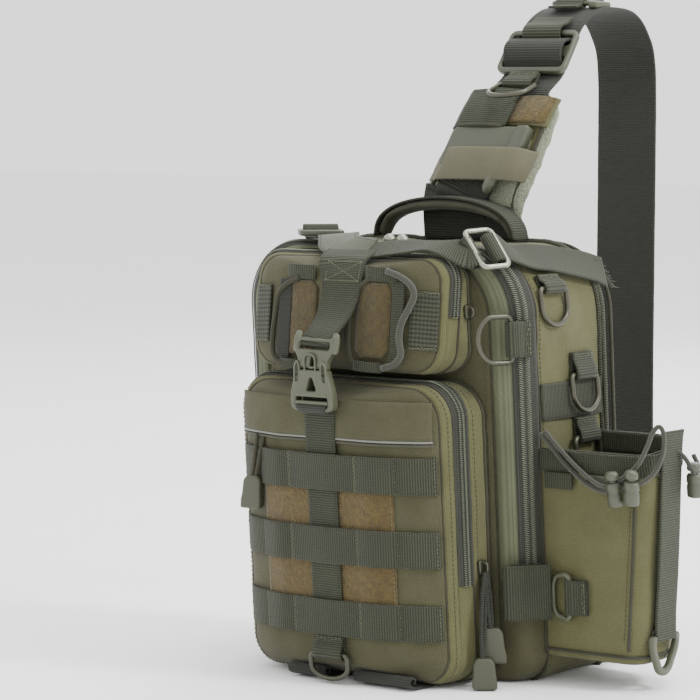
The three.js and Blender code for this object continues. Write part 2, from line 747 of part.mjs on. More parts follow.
// Right side: webbing band and three rings in loops
const SIDE_BAND = { low: BOTTLE_HIGH + 19, high: BOTTLE_HIGH + 19 + NARROW, front: 9, back: BODY_BACK - 6 };
const sideBand = new THREE.BoxGeometry(WEB, SIDE_BAND.back - SIDE_BAND.front, SIDE_BAND.high - SIDE_BAND.low);
sideBand.translate(
  BODY_HALF + GAP + WEB / 2,
  (SIDE_BAND.back + SIDE_BAND.front) / 2,
  (SIDE_BAND.high + SIDE_BAND.low) / 2,
);
add('side_webbing_right', sideBand, 'webbing');
const sideRings = [
  { name: 'top', y: 28, z: BODY_HIGH - 28, tail: 10 },
  { name: 'mid', y: 57, z: SIDE_BAND.high + 4, tail: 15 },
  { name: 'low', y: 59, z: SIDE_BAND.low - 14.5, tail: 14 },
];
for (const { name, y, z, tail } of sideRings) {
  const centreZ = BODY_HIGH - BODY_CORNER;
  const angle = Math.asin(Math.max(0, z - centreZ) / BODY_CORNER);
  const seatX = BODY_HALF - BODY_CORNER * (1 - Math.cos(angle));
  const out = point(Math.cos(angle), 0, Math.sin(angle));
  const up = point(-Math.sin(angle), 0, Math.cos(angle));
  ringInLoop([`side_ring_${name}`, `side_loop_${name}`], point(seatX, y, z), up, out, {
    tail,
    swing: degToRad(4) - angle,
  });
}

// Ring on a tab across the zip, with an upright bar
const tabAlong = point(0.525, 0.851, 0).normalize();
const tabOut = point(tabAlong.y, -tabAlong.x, 0);
const zipRingAt = point(BODY_HALF - 7.4, BODY_FRONT + 9.6, TOP_LOW + 24);
ringInLoop(['zip_ring', 'zip_ring_tab'], zipRingAt, tabAlong, tabOut);

// Bottle pocket: seen from above, three walls that meet the body's side
const bottleRight = (z) => {
  const part = (z - BOTTLE_LOW) / (BOTTLE_HIGH - BOTTLE_LOW);
  return BODY_HALF + GAP + BOTTLE_WIDTH * lerp(BOTTLE_TAPER, 1, part);
};
const bottleRim = (y) => BOTTLE_HIGH + (BOTTLE_RISE * (y - BOTTLE_FRONT)) / (BOTTLE_BACK - BOTTLE_FRONT);
const BOTTLE_STEPS = 4;

// The three walls as seen from above; height gives z for each y
function bottlePlan(grow, height) {
  const left = BODY_HALF + GAP;
  const plan = [[left, BOTTLE_FRONT - grow, 0]];
  const corners = [
    [BOTTLE_FRONT + BOTTLE_CORNER, BOTTLE_CORNER, -90],
    [BOTTLE_BACK - BOTTLE_TURN, BOTTLE_TURN, 0],
  ];
  for (const [centreY, turn, start] of corners) {
    for (let k = 0; k <= BOTTLE_STEPS; k += 1) {
      const angle = degToRad(start + (90 * k) / BOTTLE_STEPS);
      const radius = turn + grow;
      plan.push([-turn + radius * Math.cos(angle), centreY + radius * Math.sin(angle), 1]);
    }
  }
  plan.push([left, BOTTLE_BACK + grow, 0]);
  return plan.map(([x, y, right]) => {
    const z = height(y);
    return point(right ? bottleRight(z) + x : x, y, z);
  });
}

function bottlePocket() {
  const loopAt = (grow, height, inner) => {
    const walls = bottlePlan(grow, height);
    const left = BODY_HALF + GAP - Math.min(0, grow);
    walls[0].x = left;
    walls[walls.length - 1].x = left;
    const against = [BOTTLE_BACK + grow - CLOTH, BOTTLE_FRONT - grow + CLOTH];
    return [...walls, ...against.map((y) => point(left, y, inner))];
  };
  const foot = BOTTLE_LOW;
  const flat = (z) => () => z;
  return loft([
    loopAt(-CLOTH - 1, flat(foot), foot),
    loopAt(0, flat(foot + 4), foot + 4),
    loopAt(0, bottleRim, BOTTLE_HIGH - BOTTLE_INNER),
    loopAt(-CLOTH, bottleRim, BOTTLE_HIGH - BOTTLE_INNER),
    loopAt(-CLOTH, flat(foot + 4), foot + 4),
    loopAt(-2 * CLOTH - 1, flat(foot + CLOTH), foot + CLOTH),
  ]);
}
add('bottle_pocket', bottlePocket(), 'cloth');

const bindingFace = (grow) => [
  bottlePlan(grow, (y) => bottleRim(y) - BINDING),
  bottlePlan(grow, (y) => bottleRim(y) + GAP),
];
add('pocket_binding', thickSheet(bindingFace(GAP), bindingFace(GAP + WEB)), 'webbing');

// Shock cord round the mouth with two cord locks
const BUNGEE = 1.6; // radius
const BUNGEE_Y = BOTTLE_FRONT - 2 * GAP - WEB - BUNGEE;
// Steps from the body's side, back from the front wall and up from the mouth
const bungee = [
  [4, 0, 5],
  [29, 0, -11],
  [55, 0, -22],
  [69, 0, -22],
  [80, 0, -15],
  [87, 5, 4],
  [90, 8, 19],
  [93, 11, 19],
  [92, 12, 2],
].map(([x, y, z]) => [BODY_HALF + x, BUNGEE_Y + y, BOTTLE_HIGH + z]);
add('mouth_cord', tube(bungee, BUNGEE, 36), 'plastic');
const LOCK_RADIUS = 5.5;
const LOCK_HIGH = 24;
const LOCK_FOOT = BOTTLE_HIGH - 33;
const lockProfile = [[0, 0], [0.8, 0], [1, 0.1], [1, 0.62], [0.72, 0.7], [0.72, 0.86], [0.55, 1], [0, 1]];
const locks = [{ x: 67, lean: 0 }, { x: 79, lean: 4 }];
locks.forEach(({ x, lean }, i) => {
  const profile = lockProfile.map(([u, v]) => new THREE.Vector2(u * LOCK_RADIUS, v * LOCK_HIGH));
  const lock = new THREE.LatheGeometry(profile, 12);
  lock.rotateX(Math.PI / 2).rotateY(degToRad(lean));
  lock.translate(BODY_HALF + x, BUNGEE_Y - BUNGEE - GAP - LOCK_RADIUS, LOCK_FOOT);
  add(`cord_lock_${i + 1}`, lock, 'plastic');
});

// Loose strap with a three-cornered ring on the right face of the bottle pocket
const SIDE_STRAP = {
  front: BOTTLE_FRONT + 11,
  low: BOTTLE_LOW + 19,
  high: BOTTLE_HIGH + 12,
  cut: 8,
  slope: 0.08, // inward for each millimetre down
};
const strapSideX = (z) =>
  bottleRight(BOTTLE_HIGH) + 2 * GAP + 1.5 * WEB - (BOTTLE_HIGH - z) * SIDE_STRAP.slope;
const strapEdge = (y, top) => [SIDE_STRAP.low, BOTTLE_HIGH - BINDING, top].map((z) => point(strapSideX(z), y, z));
add('pocket_strap', strapBetween(
  strapEdge(SIDE_STRAP.front, SIDE_STRAP.high),
  strapEdge(SIDE_STRAP.front + NARROW, SIDE_STRAP.high + SIDE_STRAP.cut),
  WEB,
), 'webbing');
const trianglePath = [[14.5, 0], [16.5, -3], [6, -23], [0, -25.5], [-6, -23], [-16.5, -3], [-14.5, 0]];
const triangleAt = point(
  strapSideX(SIDE_STRAP.low),
  SIDE_STRAP.front + NARROW / 2,
  SIDE_STRAP.low - GAP - WIRE,
);
add('pocket_strap_ring', wireRing(trianglePath, triangleAt, Y, Z), 'plastic');

// Wide tab at the foot of the zip, folded round, with an angular ring beside it
const WRAP = {
  low: 46,
  high: 84,
  left: BODY_HALF - 12.4,
  front: BODY_FRONT - 2.2,
  width: 23.4,
  depth: 28.8,
};
// Shares of its width and depth
const wrapPath = [
  [0.56, 1],
  [0.49, 0.701],
  [0.18, 0.4],
  [0.077, 0.271],
  [0, 0.139],
  [0.103, 0],
  [0.338, 0.111],
  [0.573, 0.406],
  [0.855, 0.736],
  [0.96, 0.86],
].map(([u, v]) => [WRAP.left + u * WRAP.width, WRAP.front + v * WRAP.depth]);
const wrapTab = band(wrapPath, WEB, WRAP.high - WRAP.low);
const wrapMiddle = (WRAP.high + WRAP.low) / 2;
add('wrap_tab', wrapTab.translate(0, 0, wrapMiddle), 'webbing');
ringInLoop(
  ['wrap_ring', 'wrap_ring_tab'],
  point(BODY_HALF + 23.5, BOTTLE_FRONT, wrapMiddle - 3),
  X,
  minus(Y),
  { tail: 12, ring: rectPath(RING_WIDTH, 14, 3), swing: degToRad(-5) },
);

// Shoulder pad: shares of the strap's place, of the pad's lean and rise, and of its width
const padStations = [
  { x: 0.37, back: 0, rise: 0, width: 1 },
  { x: 0.4, back: 0, rise: 0.28, width: 1 },
  { x: 0.71, back: 0.13, rise: 0.517, width: 0.967 },
  { x: 0.947, back: 0.507, rise: 0.803, width: 0.913 },
  { x: 1, back: 0.826, rise: 0.931, width: 0.804 },
  { x: 1, back: 1, rise: 1, width: 0.543 },
];
const PAD_FOOT_Y = BODY_BACK + 3.5;
const PAD_FOOT_Z = BODY_HIGH + 2 * GAP;
const pad = padStations.map(({ x, back, rise, width }) => [
  STRAP_X * x,
  PAD_FOOT_Y + PAD_BACK * back,
  PAD_FOOT_Z + PAD_RISE * rise,
  PAD_WIDTH * width,
]);
add('strap_pad', ribbon(pad, PAD_WIDTH, PAD_THICK), 'pad');

// A place on the pad: t counts stations, lift stands off the pad's middle towards the front
function onPad(t, lift) {
  const normalAt = (i) => {
    const [, y0, z0] = pad[Math.max(0, i - 1)];
    const [, y1, z1] = pad[Math.min(pad.length - 1, i + 1)];
    const length = Math.hypot(y1 - y0, z1 - z0);
    return [(z0 - z1) / length, (y1 - y0) / length];
  };
  const i = Math.min(pad.length - 2, Math.floor(t));
  const ends = [i, i + 1].map((k) => {
    const [ny, nz] = normalAt(k);
    return [pad[k][0], pad[k][1] + lift * ny, pad[k][2] + lift * nz];
  });
  return ends[0].map((value, axis) => lerp(value, ends[1][axis], t - i));
}

// A layer on the pad between two stations; columns are shifts in x with their lifts
function padLayer(start, end, columns, thick) {
  const stops = [start];
  for (let t = Math.floor(start) + 1; t < end; t += 1) {
    stops.push(t);
  }
  stops.push(end);
  const face = (out) => stops.map((t) => columns.map(([shift, lift]) => {
    const [x, y, z] = onPad(t, lift + out);
    return point(x + shift, y, z);
  }));
  return thickSheet(face(0), face(thick));
}
const onTop = PAD_THICK / 2 + GAP;
const level = (from, to, lift) => [[from, lift], [to, lift]];
// Ends of the pieces on the pad, counted in its stations
const CLASP = { width: 56, thick: 8, low: 1.7, high: 2.8 };
const BAND = { half: PAD_WIDTH / 2 - 9, low: 1.35, high: 2.5 };
const PATCH = { left: 4, right: 34, low: 2.8, high: 3.95 };
const FLAP = { left: -40, right: 14, low: 2.85, high: 4.5 };
const STRAP_START = 3.2;
const overClasp = onTop + CLASP.thick + GAP;
const overStrap = onTop + WIDE_THICK + GAP;
const overPatch = overStrap + LOOP_CLOTH + GAP;
const claspHalf = CLASP.width / 2;
const clasp = padLayer(CLASP.low, CLASP.high, level(-claspHalf, claspHalf, onTop), CLASP.thick);
add('strap_buckle', clasp, 'plastic');
add('strap_band', padLayer(BAND.low, BAND.high, [
  [-BAND.half, onTop],
  [-claspHalf - 2, overClasp],
  [claspHalf + 2, overClasp],
  [BAND.half, onTop],
], WEB), 'webbing');
const patchColumns = level(PATCH.left, PATCH.right, overStrap);
add('strap_patch', padLayer(PATCH.low, PATCH.high, patchColumns, LOOP_CLOTH), 'tan');
add('strap_flap', padLayer(FLAP.low, FLAP.high, level(FLAP.left, FLAP.right, overPatch), WEB), 'webbing');

// Shoulder webbing: over the top, down behind the bag and back to its foot. Shares of its
// reach behind the back panel, of its rise above the pad, of the pad's height and of its shift
const strapOver = [
  { back: 0.225, rise: 0.232 },
  { back: 0.294, rise: 0.448 },
  { back: 0.394, rise: 0.768 },
  { back: 0.519, rise: 0.952 },
  { back: 0.644, rise: 1 },
  { back: 0.8375, rise: 0.944 },
  { back: 0.95, rise: 0.704 },
  { back: 1, rise: 0.304 },
];
const strapDown = [
  { back: 0.975, high: 0.879, shift: 0 },
  { back: 0.9375, high: 0.693, shift: 0 },
  { back: 0.9, high: 0.503, shift: 0 },
  { back: 0.875, high: 0.352, shift: 0 },
  { back: 0.85, high: 0.251, shift: 0.07 },
  { back: 0.769, high: 0.166, shift: 0.21 },
  { back: 0.6125, high: 0.111, shift: 0.43 },
  { back: 0.425, high: 0.083, shift: 0.64 },
  { back: 0.2375, high: 0.075, shift: 0.82 },
  { back: 0.1125, high: 0.09, shift: 0.93 },
  { back: 0.0375, high: 0.126, shift: 1 },
];
const PANEL_BACK = BODY_BACK + PANEL_THICK;
const PAD_END_Z = PAD_FOOT_Z + PAD_RISE;
const strapRoute = [
  ...strapOver.map(({ back, rise }) => [
    STRAP_X,
    PANEL_BACK + STRAP_REACH * back,
    PAD_END_Z + STRAP_RISE * rise,
  ]),
  ...strapDown.map(({ back, high, shift }) => [
    STRAP_X + STRAP_SHIFT * shift,
    PANEL_BACK + STRAP_REACH * back,
    PAD_END_Z * high,
  ]),
];
const padPlace = (t) => onPad(t, onTop + WIDE_THICK / 2);
const strapLine = [padPlace(STRAP_START), padPlace(4), padPlace(5), ...strapRoute];
const sewnEnd = [0.166, 0.231].map((high) => [
  STRAP_X + STRAP_SHIFT,
  PANEL_BACK + 2 * GAP + WIDE_THICK / 2,
  PAD_END_Z * high,
]);
add('strap_webbing', ribbon([...smooth(strapLine, 56), ...sewnEnd], WIDE, WIDE_THICK), 'darkWebbing');

// Tri-glide on the webbing and the rings beside it
function onStrap(i, lift) {
  const [, y0, z0] = strapRoute[i - 1];
  const [x, y, z] = strapRoute[i];
  const [, y1, z1] = strapRoute[i + 1];
  const along = point(0, y1 - y0, z1 - z0).normalize();
  const out = point(0, -along.z, along.y);
  return { place: point(x, y, z).addScaledVector(out, WIDE_THICK / 2 + lift), along, out };
}
const GLIDE = { width: 58, height: 38, thick: 4.5, slot: 9, bar: 9.5 };
const glideSeat = onStrap(1, 4 * GAP + GLIDE.thick / 2);
const glideSlots = [[WIDE + 1, GLIDE.slot, 0, GLIDE.bar], [WIDE + 1, GLIDE.slot, 0, -GLIDE.bar]];
const glide = slotted(GLIDE.width, GLIDE.height, 6, GLIDE.thick, glideSlots);
add('tri_glide', put(glide, glideSeat.place, X, glideSeat.along, glideSeat.out), 'plastic');
const TOP_RING = { width: 34, height: 17, thick: 4.5 };
const topSeat = onStrap(4, 2 * GAP + TOP_RING.thick / 2);
const topRing = slotted(TOP_RING.width, TOP_RING.height, 6, TOP_RING.thick, [[NARROW + 1, GLIDE.slot, 0, 0]]);
add('top_ring', put(topRing, topSeat.place, X, topSeat.along, topSeat.out), 'plastic');
const ringAlong = point(0, 0.64, 0.77).normalize();
const ringOut = point(0, -ringAlong.z, ringAlong.y);
const ringPlace = point(...onPad(pad.length - 1, onTop + WIDE_THICK)).add(ringAlong);
const strapRing = { tail: 12, swing: degToRad(55) };
ringInLoop(['strap_d_ring', 'strap_d_loop'], ringPlace, ringAlong, ringOut, strapRing);

// Rod straps folded under the lower pocket
// Steps back from the pocket's face, and shares of the pocket's height above the floor
const rodPath = [
  [46.8, 0.54],
  [18.8, 0.54],
  [6.8, 0.92],
  [1.8, 2],
  [3.8, 3.3],
].map(([back, share]) => [LOWER_FRONT + back, LOWER_LOW * share]);
const rodStraps = [{ name: 'left', centre: -24, width: 32 }, { name: 'right', centre: 40, width: 48 }];
for (const { name, centre, width } of rodStraps) {
  add(`rod_strap_${name}`, put(band(rodPath, WEB, width), point(centre, 0, 0), Y, Z, X), 'webbing');
}

export default backpack;
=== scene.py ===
"""Looks of a fishing sling backpack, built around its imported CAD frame.

Shapes are worked out in millimetres with the bag standing upright, as in the part's source:
x to the bag's right side, y to the back, z up. world() leans them forward and turns them to metres.
"""

import math

import bmesh
import bpy
import numpy as np
from mathutils import Matrix, Vector, noise

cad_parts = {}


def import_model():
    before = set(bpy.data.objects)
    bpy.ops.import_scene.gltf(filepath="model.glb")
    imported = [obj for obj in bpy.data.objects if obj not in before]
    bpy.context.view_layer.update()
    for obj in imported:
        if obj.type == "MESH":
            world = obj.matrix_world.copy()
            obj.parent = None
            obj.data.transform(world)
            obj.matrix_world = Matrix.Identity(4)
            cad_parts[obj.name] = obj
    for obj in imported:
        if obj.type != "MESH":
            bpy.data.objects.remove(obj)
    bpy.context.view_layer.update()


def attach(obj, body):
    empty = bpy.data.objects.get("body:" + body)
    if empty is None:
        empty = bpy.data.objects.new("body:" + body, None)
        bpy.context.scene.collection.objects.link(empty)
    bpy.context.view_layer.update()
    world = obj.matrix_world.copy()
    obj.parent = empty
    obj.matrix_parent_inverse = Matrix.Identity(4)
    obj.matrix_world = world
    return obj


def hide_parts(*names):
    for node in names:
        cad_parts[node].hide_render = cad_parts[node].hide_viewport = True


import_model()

MM = 0.001
LEAN = 0.072
GAP = 0.3
ROOT = "root"
BODY_HALF, BODY_FRONT, BODY_BACK, BODY_TOP = 117, -24, 84, 296
BODY_CORNER, BODY_FOOT = 45, 22
CORNER_X, CORNER_Z = BODY_HALF - BODY_CORNER, BODY_TOP - BODY_CORNER
CLOTH_THICK, WEB_THICK, LOOP_WIDE, RING_WIRE = 1.4, 1.6, 24, 1.8
SEWN_LIFT = 0.25


def world(points):
    """Upright millimetres to the leaning bag in metres."""
    out = np.array(points, float)
    out[..., 1] -= LEAN * out[..., 2]
    return out * MM


def linked(name, data):
    """An object in the scene."""
    obj = bpy.data.objects.new(name, data)
    bpy.context.scene.collection.objects.link(obj)
    return obj


def give(tree, socket, value):
    """Sets a node's input to another node's output or to a value. None leaves it."""
    if isinstance(value, bpy.types.NodeSocket):
        tree.links.new(value, socket)
    elif value is not None:
        socket.default_value = value


def new_node(tree, kind, inputs, settings):
    node = tree.nodes.new(kind)
    for key, value in settings.items():
        setattr(node, key, value)
    for key, value in inputs.items():
        give(tree, node.inputs[key], value)
    return node


# Materials

class Nodes:
    """A short way to write a material's nodes."""

    def __init__(self, name):
        self.material = bpy.data.materials.new(name)
        self.material.use_nodes = True
        self.tree = self.material.node_tree
        self.shader = self.tree.nodes["Principled BSDF"]

    def add(self, kind, inputs=None, **settings):
        return new_node(self.tree, kind, inputs or {}, settings)

    def math(self, operation, *values):
        return self.add("ShaderNodeMath", dict(enumerate(values)), operation=operation).outputs[0]

    def clamp01(self, value, low, high, to_low=0.0, to_high=1.0):
        inputs = {"Value": value, "From Min": low, "From Max": high, "To Min": to_low, "To Max": to_high}
        return self.add("ShaderNodeMapRange", inputs, clamp=True).outputs["Result"]

    def mix(self, factor, a, b):
        return self.add("ShaderNodeMix", {0: factor, 6: a, 7: b}, data_type="RGBA").outputs[2]

    def uv(self):
        return self.add("ShaderNodeUVMap", uv_map="cloth").outputs["UV"]

    def place(self):
        return self.add("ShaderNodeTexCoord").outputs["Object"]

    def noise(self, vector, scale, detail=3.0, roughness=0.55):
        inputs = {"Vector": vector, "Scale": scale, "Detail": detail, "Roughness": roughness}
        return self.add("ShaderNodeTexNoise", inputs).outputs["Fac"]

    def cells(self, randomness):
        inputs = {"Vector": self.place(), "Scale": 620.0, "Randomness": randomness}
        return self.add("ShaderNodeTexVoronoi", inputs).outputs["Distance"]

    def turned(self, vector, angle=0.0, scale=(1, 1, 1)):
        inputs = {"Vector": vector, "Rotation": (0, 0, math.radians(angle)), "Scale": scale}
        return self.add("ShaderNodeMapping", inputs).outputs["Vector"]

    def ridges(self, value, pitch):
        """0 to 1 and back over each pitch of a length in metres."""
        wave = self.math("SINE", self.math("MULTIPLY", value, 2 * math.pi / pitch))
        return self.math("MULTIPLY_ADD", wave, 0.5, 0.5)

    def bump(self, height, distance, strength=1.0, normal=None):
        inputs = {"Height": height, "Distance": distance, "Strength": strength, "Normal": normal}
        return self.add("ShaderNodeBump", inputs).outputs["Normal"]

    def finish(self, colour, normal, roughness, **constants):
        constants.update({"Base Color": colour, "Normal": normal, "Roughness": roughness})
        for key, value in constants.items():
            give(self.tree, self.shader.inputs[key], value)
        return self.material


def linear(red, green, blue):
    """A screen colour of 0 to 255 as a scene colour."""
    def one(value):
        value /= 255
        return value / 12.92 if value <= 0.04045 else ((value + 0.055) / 1.055) ** 2.4
    return (one(red), one(green), one(blue), 1)


def shade(colour, share):
    return tuple(channel * share for channel in colour[:3]) + (1,)


def woven(name, colour, pitch=1.1, angle=38, depth=0.24):
    """Bag cloth: a plain weave of thick yarn, with faded and rubbed places, and painted shade in the hollows of the
    weave.
    """
    n = Nodes(name)
    yarns = n.add("ShaderNodeSeparateXYZ", {0: n.turned(n.uv(), angle)})
    across = n.ridges(yarns.outputs[0], pitch * MM * 2)
    along = n.ridges(yarns.outputs[1], pitch * MM * 2)
    crossing = n.math("ABSOLUTE", n.math("SUBTRACT", across, along))
    grain = n.noise(n.turned(n.uv(), angle, (900, 420, 1)), 1.0, 3)
    weave = n.math("MULTIPLY_ADD", grain, 0.75, n.math("MULTIPLY", crossing, 0.6))
    fade = n.noise(n.place(), 13, 5, 0.6)
    blotch = n.noise(n.place(), 55, 4, 0.6)
    base = n.mix(n.clamp01(fade, 0.32, 0.7), shade(colour, 0.86), shade(colour, 1.13))
    base = n.mix(n.clamp01(blotch, 0.35, 0.75, 0, 0.35), base, shade(colour, 1.25))
    # Painted shade: the low places of the weave are darker.
    base = n.mix(n.clamp01(weave, 0.2, 1.0, 0.7, 0), base, shade(colour, 0.42))
    rough = n.clamp01(blotch, 0.3, 0.7, 0.96, 0.82)
    folds = n.bump(n.noise(n.place(), 42, 3), 0.0011, 0.55)
    normal = n.bump(weave, depth * MM, 1.0, folds)
    return n.finish(base, normal, rough, **{"Sheen Weight": 0.06, "Sheen Roughness": 0.45})


def webbing_material(name, colour, rib=1.7, column=1.5, groove_shade=1.15, depth=0.45, pale=2.2):
    """Webbing: u runs along the tape and v across it. Its ribs carry painted shade in their grooves and a painted
    highlight on their crests.
    """
    n = Nodes(name)
    parts = n.add("ShaderNodeSeparateXYZ", {0: n.uv()})
    u, v = parts.outputs[0], parts.outputs[1]
    wobble = n.noise(n.turned(n.uv(), 0, (60, 340, 1)), 1.0, 2)
    u_bent = n.math("MULTIPLY_ADD", wobble, 0.0005, u)
    columns = n.ridges(v, column * MM)
    ribs = n.ridges(u_bent, rib * MM)
    height = n.math("MULTIPLY_ADD", columns, 0.3, n.math("MULTIPLY", ribs, 0.7))
    fibre = n.noise(n.turned(n.uv(), 0, (700, 2600, 1)), 1.0, 2)
    height = n.math("MULTIPLY_ADD", fibre, 0.25, height)
    fade = n.noise(n.place(), 21, 4, 0.6)
    base = n.mix(n.clamp01(fade, 0.32, 0.7), shade(colour, 0.84), shade(colour, 1.18))
    # Painted shade: the grooves between the ribs are darker.
    base = n.mix(n.clamp01(height, 0.2, 0.75, groove_shade, 0), base, shade(colour, 0.35))
    # Painted highlight: the rib crests are lighter, by the factor pale.
    base = n.mix(n.clamp01(height, 0.85, 1.15, 0, 0.4), base, shade(colour, pale))
    rough = n.clamp01(height, 0.3, 1.0, 0.9, 0.68)
    normal = n.bump(height, depth * MM, 1.0)
    return n.finish(base, normal, rough, **{"Sheen Weight": 0.06, "Sheen Roughness": 0.4})


def pile(name, colour):
    """The fuzzy half of hook-and-loop tape: its tone varies at random, with painted light where the pile stands
    higher and a painted highlight on the fibre tips.
    """
    n = Nodes(name)
    fuzz = n.noise(n.place(), 900, 4, 0.75)
    clumps = n.noise(n.place(), 230, 4, 0.7)
    tufts = n.cells(1.0)
    height = n.math("MULTIPLY_ADD", fuzz, 0.6, n.math("MULTIPLY_ADD", clumps, 0.7, n.math("MULTIPLY", tufts, -0.5)))
    # Painted light: higher clumps are lighter and lower ones darker, along with random tone.
    base = n.mix(n.clamp01(clumps, 0.35, 0.68), shade(colour, 0.62), shade(colour, 1.3))
    # Painted highlight on the fibre tips.
    base = n.mix(n.clamp01(fuzz, 0.5, 0.75, 0, 0.75), base, shade(colour, 2.0))
    normal = n.bump(height, 0.0009, 0.9)
    return n.finish(base, normal, 1.0, **{"Sheen Weight": 0.15, "Sheen Roughness": 0.6})


def moulded(name, colour, worn, roughness=0.42, metallic=0.0):
    """Moulded plastic or painted metal, brighter where its edges are rubbed."""
    n = Nodes(name)
    speck = n.noise(n.place(), 1500, 3)
    cloud = n.noise(n.place(), 60, 4)
    edge = n.add("ShaderNodeNewGeometry").outputs["Pointiness"]
    base = n.mix(n.clamp01(cloud, 0.3, 0.7), shade(colour, 0.88), shade(colour, 1.12))
    base = n.mix(n.clamp01(edge, 0.52, 0.6, 0, 0.65), base, shade(colour, worn))
    rough = n.clamp01(cloud, 0.3, 0.7, roughness - 0.07, roughness + 0.1)
    normal = n.bump(speck, 0.00006, 0.8)
    return n.finish(base, normal, rough, Metallic=metallic)


def braid(name, colour):
    """Shock cord: two families of strands wound against each other, painted lighter on their crests and darker
    between them as painted light and shade.
    """
    n = Nodes(name)
    parts = n.add("ShaderNodeSeparateXYZ", {0: n.uv()})
    u, v = parts.outputs[0], parts.outputs[1]
    strand = 1.6 * MM
    left = n.ridges(n.math("ADD", u, v), strand)
    right = n.ridges(n.math("SUBTRACT", u, v), strand)
    height = n.math("MAXIMUM", left, right)
    # Painted light and shade: strand crests lighter, grooves between strands darker.
    base = n.mix(n.clamp01(height, 0.5, 1.0), shade(colour, 0.5), shade(colour, 1.2))
    normal = n.bump(height, 0.0003, 0.9)
    return n.finish(base, normal, 0.75, **{"Sheen Weight": 0.2})


def knitted(name, colour):
    """Spacer mesh: a knit with small round holes over foam, the holes painted darker as painted shade."""
    n = Nodes(name)
    holes = n.cells(0.85)
    rim = n.clamp01(holes, 0.18, 0.5)
    fade = n.noise(n.place(), 18, 4)
    base = n.mix(n.clamp01(fade, 0.3, 0.7), shade(colour, 0.85), shade(colour, 1.15))
    # Painted shade: the holes are darker.
    base = n.mix(rim, shade(colour, 0.6), base)
    folds = n.bump(n.noise(n.place(), 60, 3), 0.0016, 0.7)
    normal = n.bump(rim, 0.0004, 0.7, folds)
    return n.finish(base, normal, 0.95, **{"Sheen Weight": 0.1})


CLOTH = woven("olive_cloth", linear(64, 63, 38))
# A lighter copy of the olive cloth for the panels that take more light: painted light.
CLOTH_LIT = woven("olive_cloth_lit", linear(82, 82, 49), angle=44)
CLOTH_SMOOTH = webbing_material("elastic_band", linear(86, 84, 65), rib=0.7, column=0.9, groove_shade=0.25, depth=0.1,
                                pale=1.15)
LINING = woven("dark_lining", linear(66, 65, 50), pitch=0.6, angle=10)
EDGE = woven("seam_binding", linear(46, 46, 29), pitch=0.6, angle=20, depth=0.08)
WEB = webbing_material("green_webbing", linear(38, 42, 22))
WEB_NET = webbing_material("open_webbing", linear(36, 39, 21), rib=3.0, column=2.6, groove_shade=1.0, depth=0.7,
                           pale=1.9)
WEB_DARK = webbing_material("dark_webbing", linear(27, 29, 18), rib=1.6, column=1.2, groove_shade=0.7, pale=1.35)
# Smooth webbing, partly a paler tape and partly made lighter as a painted highlight.
WEB_FLAT_LIT = webbing_material("flat_webbing_lit", linear(65, 69, 55), rib=1.2, column=1.2, groove_shade=0.3, depth=0.12,
                            pale=1.2)
BINDING = webbing_material("ribbed_binding", linear(52, 54, 39), rib=1.8, column=1.2, groove_shade=0.8, pale=1.4)
ZIP_TAPE = webbing_material("zip_tape", linear(77, 81, 58), rib=1.2, column=1.4, groove_shade=0.3, depth=0.1, pale=1.15)
# Zip tape beside the teeth: partly the zip's own darker tape, partly painted shade of the teeth.
ZIP_SHADED = webbing_material("zip_tape_shaded", linear(36, 38, 29), rib=1.2, column=1.4, groove_shade=0.4, depth=0.1,
                            pale=1.15)
COIL = moulded("zip_coil", linear(71, 76, 62), roughness=0.35, worn=1.9)
LOOPS = pile("loop_pile", linear(68, 55, 14))
# A darker copy of the loop pile for the top pocket's patches: painted shade.
LOOPS_SHADED = pile("shaded_loop_pile", linear(56, 46, 10))
PLASTIC = moulded("satin_plastic", linear(63, 66, 49), worn=1.35)
PLASTIC_DARK = moulded("dark_plastic", linear(59, 62, 48), worn=1.4)
RUBBER = moulded("soft_pull", linear(53, 54, 38), roughness=0.5, worn=1.2)
METAL = moulded("painted_metal", linear(60, 60, 48), roughness=0.32, metallic=0.45, worn=1.8)
BRIGHT = moulded("bright_metal", linear(134, 134, 121), roughness=0.25, metallic=0.7, worn=1.3)
CORDAGE = braid("shock_cord", linear(41, 42, 29))
PADDING = knitted("spacer_mesh", linear(113, 118, 98))
THREAD = moulded("pale_thread", linear(85, 87, 65), roughness=0.7, worn=1.1)
THREAD_DARK = moulded("olive_thread", linear(46, 43, 27), roughness=0.7, worn=1.1)
SILVER = moulded("silver_piping", linear(98, 98, 92), roughness=0.4, metallic=0.2, worn=1.2)


# Curves and grids of points

def eased(places, values):
    """A smooth curve through values that never overshoots them."""
    x, y = np.array(places, float), np.array(values, float)
    gaps = np.diff(x)
    slopes = np.diff(y) / gaps
    ends = np.concatenate([slopes[:1], np.zeros(len(x) - 2), slopes[-1:]])
    for i in range(1, len(x) - 1):
        if slopes[i - 1] * slopes[i] > 0:
            before, after = 2 * gaps[i] + gaps[i - 1], gaps[i] + 2 * gaps[i - 1]
            ends[i] = (before + after) / (before / slopes[i - 1] + after / slopes[i])

    def curve(at):
        at = np.clip(at, x[0], x[-1])
        i = np.clip(np.searchsorted(x, at) - 1, 0, len(gaps) - 1)
        t = (at - x[i]) / gaps[i]
        rise = (2 * t**3 - 3 * t**2 + 1) * y[i] + (3 * t**2 - 2 * t**3) * y[i + 1]
        return rise + gaps[i] * ((t**3 - 2 * t**2 + t) * ends[i] + (t**3 - t**2) * ends[i + 1])
    return curve


def lengths(points):
    """The distance travelled at each point of a path."""
    steps = np.linalg.norm(np.diff(points, axis=0), axis=1)
    return np.concatenate([[0], np.cumsum(steps)])


